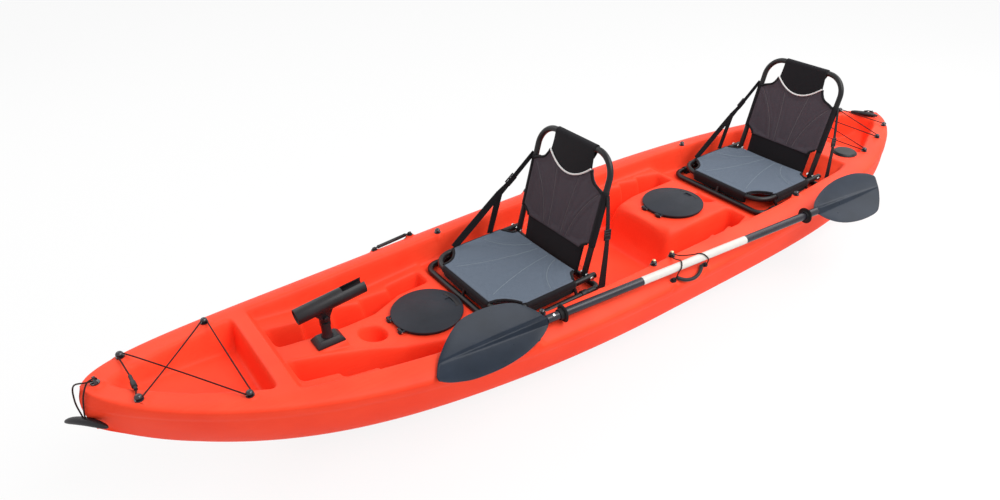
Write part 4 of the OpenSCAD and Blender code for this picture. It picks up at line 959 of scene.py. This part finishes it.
def fan(kind):
    """Seams that fan out from the panel's foot and bend away from the middle."""
    origin, way, seams = SEAMS[kind]
    t = np.linspace(0.03, 1, 60)
    lines = []
    for turn, length, foot in seams:
        bend = math.radians(turn) * (0.35 + 0.65 * t)
        out, along = foot + length * t * np.sin(bend), origin + way * length * t * np.cos(bend)
        lines += [np.stack([side * out, along], 1) for side in (-1, 1)]
    return lines


def reach(u, v, points):
    """Distance of every grid point to the nearest of some points."""
    grid = np.stack([u.ravel(), v.ravel()], 1)
    best = np.full(len(grid), 1e9)
    for start in range(0, len(points), 60):
        gap = grid[:, None] - points[None, start:start + 60]
        best = np.minimum(best, np.hypot(gap[..., 0], gap[..., 1]).min(1))
    return best.reshape(u.shape)


def settled(verts, faces, hold):
    """Verts of a closed pad once its filling has pressed its cloth out; hold is how far each is held."""
    pad = added("settling", plain_mesh("settling", verts, faces))
    group = pad.vertex_groups.new(name="held")
    for k, weight in enumerate(hold):
        if weight > 0.01:
            group.add([k], float(weight), "REPLACE")
    cloth = pad.modifiers.new("cloth", "CLOTH")
    cloth.settings.quality = 5
    cloth.settings.mass = 0.3
    cloth.settings.tension_stiffness = cloth.settings.compression_stiffness = 12
    cloth.settings.shear_stiffness = 5
    cloth.settings.bending_stiffness = 0.4
    cloth.settings.use_pressure = True
    cloth.settings.uniform_pressure_force = 5.0
    cloth.settings.effector_weights.gravity = 0
    cloth.settings.vertex_group_mass = "held"
    cloth.collision_settings.use_collision = False
    for number in range(1, 22):
        scene.frame_set(number)
    graph = bpy.context.evaluated_depsgraph_get()
    moved = np.empty(len(verts) * 3)
    pad.evaluated_get(graph).data.vertices.foreach_get("co", moved)
    bpy.data.objects.remove(pad)
    scene.frame_set(1)
    shift = moved.reshape(-1, 3) - verts
    size = np.linalg.norm(shift, axis=1, keepdims=True)
    return verts + shift * np.minimum(1, CLOTH_SHIFT / np.maximum(size, 1e-9))


class Pad:
    """Quilted panel over a grid of across (u) and along (v), drawn down along its seams."""

    def __init__(self, u, v, top, bottom, seams, puff=0.006, hem=0.02, slack=True):
        border = np.concatenate([np.stack([u[k], v[k]], 1) for k in (0, -1)]
                                + [np.stack([u[:, k], v[:, k]], 1) for k in (0, -1)])
        edge = reach(u, v, border)
        seam = reach(u, v, np.concatenate(seams)) if seams else np.full(u.shape, 1.0)
        face = (top + puff * (1 - np.exp(-edge / hem)) * (1 - np.exp(-(seam / SEAM_HOLLOW) ** 2))
                - STITCH_DEPTH * np.exp(-(seam / STITCH_WIDTH) ** 2))
        back = np.minimum(bottom, face - 0.001)
        self.verts = np.concatenate([np.stack([v, u, h], 2).reshape(-1, 3) for h in (face, back)])
        self.faces = closed_faces(*u.shape)
        if slack:
            held = unit(1.15 * np.exp(-(seam / 0.006) ** 2) + np.exp(-edge / 0.004))
            self.verts = settled(self.verts, self.faces, np.concatenate([held.ravel(), np.ones(u.size)]))
        self.face = self.verts[:u.size].reshape(*u.shape, 3)
        self.uv = np.concatenate([np.stack([u, v], 2).reshape(-1, 2)] * 2)

    def on_face(self, u, v):
        """Height of the panel's face near a point of it."""
        x, y, z = self.face.reshape(-1, 3).T
        return z[np.argmin(np.hypot(y - u, x - v))]

    def make(self, name, place, body, slot, look=None, replaced=()):
        verts = [place @ Vector(p) for p in self.verts]
        piece = mend_normals(mesh_piece(name, verts, self.faces, body, slot, look, replaced, self.uv))


def panel_grid(line, top_edge=None):
    """Grid of across and along over an outline of (along, half width) points."""
    crowd = 1.35        # draws the columns together towards the sides
    across = np.sin(np.linspace(-1, 1, PAD_COLS) * crowd) / math.sin(crowd)
    s, f = np.meshgrid(np.linspace(0, 1, PAD_ROWS), across, indexing="ij")
    low, high = line[0, 0], line[-1, 0]
    u = f * np.interp(low + (high - low) * s, line[:, 0], line[:, 1])
    v = low + ((top_edge(u) if top_edge else high) - low) * s
    return u, v


def seat_pad():
    """The seat's panel, which lies over its tubes and rolls down round them."""
    u, v = panel_grid(SEAT_LINE)
    roll = 0.0145       # how far out from a tube's middle the panel rolls down
    side, front = np.clip(np.abs(u) - SEAT_HALF, 0, roll), np.clip(-SEAT_DEPTH - v, 0, roll)
    top = np.sqrt(COVER_R ** 2 - np.minimum(side ** 2 + front ** 2, 0.98 * COVER_R ** 2)) - 0.0015
    sag = 0.004 * (1 - unit(np.abs(u) / 0.2) ** 2) * unit((v + SEAT_DEPTH) / 0.06)
    tube = np.minimum(np.abs(np.abs(u) - SEAT_HALF), np.abs(v + SEAT_DEPTH))
    bottom = np.where(tube < 0.0135, top - 0.003, 0.001)
    return Pad(u, v, top - sag, bottom, fan("seat"))


def back_pad():
    u, v = panel_grid(BACK_LINE, panel_edge)
    top = 0.0085 + 0.003 * (np.abs(u) / 0.18) ** 2
    return Pad(u, v, top, np.full(u.shape, -0.001), fan("back"))


def lumbar_pad():
    """Black band from below the hinge to the grey panel, thin at the hinge so that the back can fold."""
    s, f = np.meshgrid(np.linspace(0, 1, 30), np.linspace(-1, 1, 50), indexing="ij")
    v = -0.022 + 0.114 * s
    top = -0.003 + 0.008 * unit(v / 0.092) ** 1.3
    return Pad(f * 0.152, v, top, np.full(s.shape, -0.005), [], 0.003, 0.012, False)


def sleeve(name, place, a, b, drop, hang, body):
    """Sewn sleeve round a tube from a to b, pulled into a flat tail along drop."""
    a, b, drop = Vector(a), Vector(b), Vector(drop)
    axis = (b - a).normalized()
    side = axis.cross(drop)
    ring = [(-math.cos(t), math.sin(t)) for t in np.radians(np.linspace(-118, 118, 19))]
    loop = [(TUBE_R + 0.0016) * Vector((0, c, s)) for c, s in ring]
    tail = [(0.62, 0.0042), (0.92, 0.0034), (1, 0.001)]
    loop += [Vector((0, hang * k, w)) for k, w in tail + [(k, -w) for k, w in tail[::-1]]]
    steps = 26
    verts, uv = [], []
    for i in range(steps):
        t = i / (steps - 1)
        ripple = 0.05 * math.sin(17 * t) * math.sin(5.3 * t + 1)
        wave = 1 + ripple - 0.12 * math.exp(-min(t, 1 - t) / 0.03)
        for k, p in enumerate(loop):
            low = p.y * wave if p.y > 0.012 else p.y
            verts.append(place @ (a.lerp(b, t) + drop * low + side * p.z))
            uv.append((t * (b - a).length, k * 0.004))
    faces = loft_faces(steps, len(loop))
    piece = mend_normals(mesh_piece(name, verts, faces, body, "webbing", "fabric_trim", uv=uv))


def headrest(name, place, body, node):
    """Padded cap over the top bar, down to the panel's dipped edge."""
    rows, cols = 46, 41
    t, f = np.meshgrid(np.linspace(0, 1, rows), np.linspace(-1, 1, cols), indexing="ij")
    bar, behind, low = 0.58, 0.84, 0.009     # where it turns over the bar and hangs, and its lower height
    rise = unit(t / bar)
    turn = unit((t - bar) / (behind - bar)) * math.pi
    drop = unit((t - behind) / (1 - behind))
    u = f * (HEAD_HALF - 0.007 * rise - 0.012 * drop)
    start = panel_edge(u) - 0.003
    puff = 0.004 * np.sin(math.pi * rise) * (1 - f ** 4)
    v = start + (BACK_H - start) * rise + COVER_R * np.sin(turn) - 0.040 * drop
    front = low + (COVER_R - low) * rise ** 3 + puff
    z = np.where(turn > 0, COVER_R * np.cos(turn), front) + 0.004 * drop
    verts = [place @ Vector(p) for p in np.stack([v, u, z], 2).reshape(-1, 3)]
    uv = np.stack([u, 0.22 * t], 2).reshape(-1, 2)
    faces = grid_faces(rows, cols)
    piece = mend_normals(mesh_piece(name, verts, faces, body, "webbing", "fabric_trim", [node], uv))
    thick = piece.modifiers.new("cloth", "SOLIDIFY")
    thick.thickness = 0.003
    thick.offset = -1
    applied(piece).data.shade_smooth()


def ribbon(name, points, widths, thick):
    """Flat webbing through points in a plane of x and z, with its width in that plane."""
    points = [np.array(p, float) for p in through(points, 10)]
    widths = np.interp(np.linspace(0, 1, len(points)), np.linspace(0, 1, len(widths)), widths)
    verts, uv, run = [], [], 0.0
    for i, p in enumerate(points):
        tangent = points[min(i + 1, len(points) - 1)] - points[max(i - 1, 0)]
        across = np.array([-tangent[2], 0, tangent[0]])
        across /= np.linalg.norm(across)
        run += np.linalg.norm(p - points[max(i - 1, 0)])
        for w, d in ((-1, -1), (1, -1), (1, 1), (-1, 1)):
            verts.append(p + across * (w * widths[i] / 2) + np.array([0, d * thick / 2, 0]))
            uv.append((run, w * widths[i] / 2))
    strap = added(name, plain_mesh(name, verts, loft_faces(len(points), 4), uv))
    strap.data.materials.append(looks["webbing"])
    mend_normals(strap).data.set_sharp_from_angle(angle=math.radians(40))
    return strap


def buckle(name, at, along, size):
    """Ladder-lock buckle: a frame with two cross bars."""
    along = Vector(along).normalized()
    across = along.cross(Vector((0, 1, 0)))
    half_l, half_w = size[0] / 2, size[1] / 2
    curve = round_curve(name, 0.0064)
    bars = [[(-1, -1), (1, -1), (1, 1), (-1, 1)], [(0.1, -1), (0.1, 1)], [(-0.45, -1), (-0.45, 1)]]
    for ring in bars:
        path = [at + along * (a * half_l) + across * (b * half_w) for a, b in ring]
        add_spline(curve, "POLY", path).use_cyclic_u = len(ring) > 2
    curve.materials.append(looks["black_plastic"])
    drawn = added(name, curve)
    graph = bpy.context.evaluated_depsgraph_get()
    mesh = bpy.data.meshes.new_from_object(drawn.evaluated_get(graph))
    bpy.data.objects.remove(drawn)
    solid = added(name, mesh)
    solid.data.shade_smooth()
    return solid


def sewn_edges(seat, kind, shape, place, body):
    """Welts along a panel's seams, their lighter grey a painted highlight along the creases, and bindings
    round its cut-out corners.
    """
    for k, line in enumerate(fan(kind)):
        path = [place @ Vector((v, u, shape.on_face(u, v) + 0.0004)) for u, v in line[::4]]
        # The welt is a real sewn strand; its lighter grey paints the highlight along the seam's crease.
        rope(f"{seat}_{kind}_welt_{k}", through(path, 3), WELT, body, f"{kind}_welt")
    first, last = CORNERS[kind]
    corners = []
    for edge in (shape.face[:, 0], shape.face[:, -1]):
        corners += [edge[edge[:, 0] < first], edge[edge[:, 0] > last]]
    for k, corner in enumerate(corners):
        path = [place @ Vector((p[0], p[1], p[2] - 0.0005)) for p in corner[::3]]
        rope(f"{seat}_{kind}_binding_{k}", through(path, 3), BINDING, body, "fabric_trim")


def seat_sleeves(seat, on_seat, on_back, back_body):
    """Black sleeves that hold the panels to their tubes."""
    hang, post_hang, down = 0.036, 0.022, (0, 0, -1)
    for k, side in enumerate((-1, 1)):
        out = side * SEAT_HALF
        sleeve(f"{seat}_seat_side_sleeve_{k}", on_seat, (-0.284, out, 0), (-0.070, out, 0),
               down, hang, "hull")
        out = side * BACK_HALF
        sleeve(f"{seat}_post_sleeve_{k}", on_back, (0.106, out, 0), (0.308, out, 0),
               (0, -side * 0.5, -0.866), post_hang, back_body)
    sleeve(f"{seat}_seat_front_sleeve", on_seat, (-SEAT_DEPTH, -0.140, 0), (-SEAT_DEPTH, 0.140, 0),
           down, hang, "hull")


def seat_stays(seat, hinge):
    """Forked webbing stay to starboard and a plain one to port."""
    def on_post(height, y):
        return hinge + Vector((height * math.sin(RECLINE), y, height * math.cos(RECLINE)))

    tip, foot = on_post(0.312, STAY_Y), hinge + Vector((-0.283, SEAT_HALF + 0.001, 0.014))
    fork, heel = tip.lerp(foot, 0.45), hinge + Vector((-0.118, SEAT_HALF + 0.004, 0.014))
    slack = Vector((0.002, 0, -0.002))
    stay = ribbon(f"{seat}_stay", [tip, tip.lerp(foot, 0.33) + slack, fork, tip.lerp(foot, 0.8), foot],
                  [0.020, 0.021, 0.030, 0.033, 0.031], 0.0028)
    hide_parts(f"{seat}_seat_straps")
    branch_path = [fork + Vector((0.010, 0.003, 0.010)),
                   fork.lerp(heel, 0.3) + Vector((0.006, 0.003, 0)), heel]
    branch = ribbon(f"{seat}_stay_branch", branch_path, [0.030, 0.028, 0.025], 0.0026)
    lock = buckle(f"{seat}_stay_buckle", tip.lerp(foot, 0.29), foot - tip, (0.040, 0.027))
    rear_tip, rear_foot = on_post(0.298, -STAY_Y), hinge + Vector((0.026, -0.2535, -0.036))
    bow_out = Vector((0.010, 0, 0))
    rear_path = [rear_tip, rear_tip.lerp(rear_foot, 0.45) + bow_out, rear_foot]
    rear_stay = ribbon(f"{seat}_rear_stay", rear_path, [0.014, 0.018, 0.032], 0.0026)
    lock_at = rear_tip.lerp(rear_foot, 0.42) + bow_out
    rear_lock = buckle(f"{seat}_rear_buckle", lock_at, rear_foot - rear_tip, (0.034, 0.026))
    for piece, a, b in ((stay, foot, tip), (branch, heel, tip), (lock, foot, tip),
                        (rear_stay, rear_foot, rear_tip), (rear_lock, rear_foot, rear_tip)):
        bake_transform(piece)


seat_shape, back_shape, lumbar_shape = seat_pad(), back_pad(), lumbar_pad()
for seat in ("front", "rear"):
    low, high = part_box(f"{seat}_seat_hinge_bolts")
    hinge = Vector(((low.x + high.x) / 2, 0, (low.z + high.z) / 2))
    on_seat = Matrix.Translation(hinge)
    on_back = on_seat @ Matrix.Rotation(RECLINE - math.pi / 2, 4, "Y")
    back_body = f"{seat}_back"
    seat_shape.make(f"{seat}_seat_quilt", on_seat, "hull", "fabric_seat", None, [f"{seat}_seat_sling"])
    back_shape.make(f"{seat}_back_quilt", on_back, back_body, "fabric_back", None, [f"{seat}_back_sling"])
    lumbar_shape.make(f"{seat}_lumbar", on_back, back_body, "webbing", "fabric_trim")
    headrest(f"{seat}_head_cap", on_back, back_body, f"{seat}_headrest")
    sewn_edges(seat, "seat", seat_shape, on_seat, "hull")
    sewn_edges(seat, "back", back_shape, on_back, back_body)
    dip = [on_back @ Vector((panel_edge(u) + 0.001, u, 0.0135))
           for u in np.linspace(-HEAD_HALF, HEAD_HALF, 25)]
    rope(f"{seat}_piping", through(dip, 2), PIPING, back_body, "piping")
    seat_sleeves(seat, on_seat, on_back, back_body)
    seat_stays(seat, hinge)


# Fittings with broken edges, rod tubes, brass heads by the keeper, and the pieces carried over as they are
EDGE_WIDTHS = ((0.0022, "rod_base"), (0.0015, "rod_post"), (0.0014, "front_hatch_lid rear_hatch_lid"),
               (0.0012, "hatch_rims rod_cradle port_rod_cap starboard_rod_cap drain_plug"),
               (0.0010, "rod_tilt_bolt seat_feet handle_anchors"),
               (0.0010, "paddle_front_drip_ring paddle_rear_drip_ring"),
               (0.0008, "front_hatch_latch rear_hatch_latch bungee_hook"),
               (0.0008, "front_seat_hinge_bolts rear_seat_hinge_bolts"),
               (0.0006, "bow_eyelets gunwale_eyelets stern_eyelets"))
EDGES = {name: width for width, names in EDGE_WIDTHS for name in names.split()}
for name, width in EDGES.items():
    softened(name, width, "eyelet_gloss" if name.endswith("_eyelets") else None)

FLUSH_TILT = math.radians(28)
FLUSH_FLANGE, FLUSH_TUBE, FLUSH_BORE, FLUSH_LEN = 0.052, 0.024, 0.021, 0.150
FLUSH_FLOOR, FLUSH_EDGE = 0.003, 0.0012     # thickness of the tube's floor, and the flange's broken edge


def flush_holder(side):
    """Flange and tilted tube of a rod holder in one turn, from the tube's closed end to its floor inside."""
    lean = Matrix.Rotation(FLUSH_TILT, 3, "Y")
    seat = Vector((FLUSH[0], side * FLUSH[1], FLUSH_Z))

    def column(a):
        def on_tube(r, height):
            return lean @ Vector((r * math.cos(a), r * math.sin(a), height))

        def tube_at(r, z):
            return on_tube(r, r * math.cos(a) * math.tan(FLUSH_TILT) + z / math.cos(FLUSH_TILT))

        def on_flange(r, z):
            return Vector((r * math.cos(a), r * math.sin(a), z))
        inner_floor = FLUSH_FLOOR - FLUSH_LEN
        points = [on_tube(0, -FLUSH_LEN), on_tube(FLUSH_TUBE, -FLUSH_LEN), tube_at(FLUSH_TUBE, 0),
                  on_flange(FLUSH_FLANGE, 0), on_flange(FLUSH_FLANGE, FLUSH_RIM - FLUSH_EDGE),
                  on_flange(FLUSH_FLANGE - FLUSH_EDGE, FLUSH_RIM), tube_at(FLUSH_BORE, FLUSH_RIM),
                  on_tube(FLUSH_BORE, inner_floor), on_tube(0, inner_floor)]
        return [seat + p for p in points]
    slot = slot_of["flush_rod_holders"]
    name = "starboard_flush_holder" if side > 0 else "port_flush_holder"
    piece = spun(name, column, "hull", slot, slot, ["flush_rod_holders"], 48)
    piece.data.set_sharp_from_angle(angle=SHARP)


for side in (-1, 1):
    flush_holder(side)

BRASS_HEAD = [(0, 0.0034), (0.0030, 0.0031), (0.0056, 0.0018), (0.0064, 0.0003), (0.0064, -0.0006),
              (0, -0.0006)]
port_buttons = [b for b in solids("gunwale_eyelets") if b[1][1] < 0]
for k, (low, high) in enumerate(port_buttons[1:3]):
    top = (*(low + high)[:2] / 2, high[2])
    lathe(f"keeper_brass_head_{k}", BRASS_HEAD, "hull", "steel", "brass", top)

for name in nodes:
    if name not in EDGES:
        dress(name)


# Stage
FLOOR = 60.0
FLOOR_CORNERS = [(-FLOOR, -FLOOR, 0), (FLOOR, -FLOOR, 0), (FLOOR, FLOOR, 0), (-FLOOR, FLOOR, 0)]
floor = added("floor", plain_mesh("floor", FLOOR_CORNERS, [(0, 1, 2, 3)]))
floor.location.z = -0.001
PAPER = 0.88           # share of the paper floor's white that a picture sees without its shading


def seen_white(tree, share):
    """A factor that is share for what the camera, a reflection or a clear piece sees, and 0 for light."""
    path = tree.nodes.new("ShaderNodeLightPath")
    total = path.outputs["Is Camera Ray"]
    for ray in ("Is Glossy Ray", "Is Transmission Ray"):
        total = math_node(tree, "MAXIMUM", total, path.outputs[ray])
    return math_node(tree, "MULTIPLY", total, share)


def whitened(tree, shaded, output, share):
    """Mixes plain white into what is seen of a shader."""
    kind = "Emission" if shaded.bl_idname.startswith("ShaderNodeBsdf") else "Background"
    white = tree.nodes.new("ShaderNode" + kind)
    white.inputs["Strength"].default_value = 1.0
    white.inputs["Color"].default_value = (1, 1, 1, 1)
    mix = tree.nodes.new("ShaderNodeMixShader")
    tree.links.new(seen_white(tree, share), mix.inputs["Fac"])
    tree.links.new(shaded.outputs[0], mix.inputs[1])
    tree.links.new(white.outputs[0], mix.inputs[2])
    tree.links.new(mix.outputs[0], output.inputs["Surface"])


floor_look = bpy.data.materials.new("floor_paper")
floor_look.use_nodes = True
paper = floor_look.node_tree.nodes["Principled BSDF"]
paper.inputs["Base Color"].default_value = (0.84, 0.84, 0.84, 1)
paper.inputs["Roughness"].default_value = 0.9
whitened(floor_look.node_tree, paper, floor_look.node_tree.nodes["Material Output"], PAPER)
floor.data.materials.append(floor_look)

world = bpy.data.worlds.new("studio")
scene.world = world
world.use_nodes = True
sky = world.node_tree.nodes["Background"]
sky.inputs["Color"].default_value = (1, 1, 1, 1)
sky.inputs["Strength"].default_value = 0.6
whitened(world.node_tree, sky, world.node_tree.nodes["World Output"], 1.0)


def soft_light(name, at, target, size, power):
    light = bpy.data.lights.new(name, "AREA")
    light.shape = "RECTANGLE"
    light.size, light.size_y = size
    light.energy = power
    lamp = added(name, light)
    lamp.location = at
    lamp.rotation_euler = (Vector(target) - Vector(at)).to_track_quat("-Z", "Y").to_euler()


soft_light("key", (1.0, -2.6, 4.0), (0, 0, 0.2), (4.0, 3.0), 190)
soft_light("rim", (2.9, -0.1, 2.8), (0.2, -0.3, 0.3), (2.5, 2.5), 40)
soft_light("fill", (-2.0, 3.0, 3.4), (-0.3, 0, 0.3), (4.0, 3.0), 50)

# Camera
EYE = Vector((-1.78683, -1.77418, 1.78612))
AIM = Vector((0.48726, 0.68738, -0.53859)).normalized()
ROLL = math.radians(-1.171)
FOCAL, PICTURE, SENSOR = 739.97, 1000, 36     # focal length and width in pixels, and the sensor's width
right = AIM.cross(Vector((0, 0, 1))).normalized()
up = right.cross(AIM)
turned_right = right * math.cos(ROLL) + up * math.sin(ROLL)
turned_up = up * math.cos(ROLL) - right * math.sin(ROLL)
camera_data = bpy.data.cameras.new("camera")
camera_data.sensor_width = SENSOR
camera_data.lens = FOCAL / PICTURE * SENSOR
camera = added("camera", camera_data)
camera.matrix_world = Matrix.Translation(EYE) @ Matrix((turned_right, turned_up, -AIM)).transposed().to_4x4()
scene.camera = camera
scene.view_settings.view_transform = "Standard"
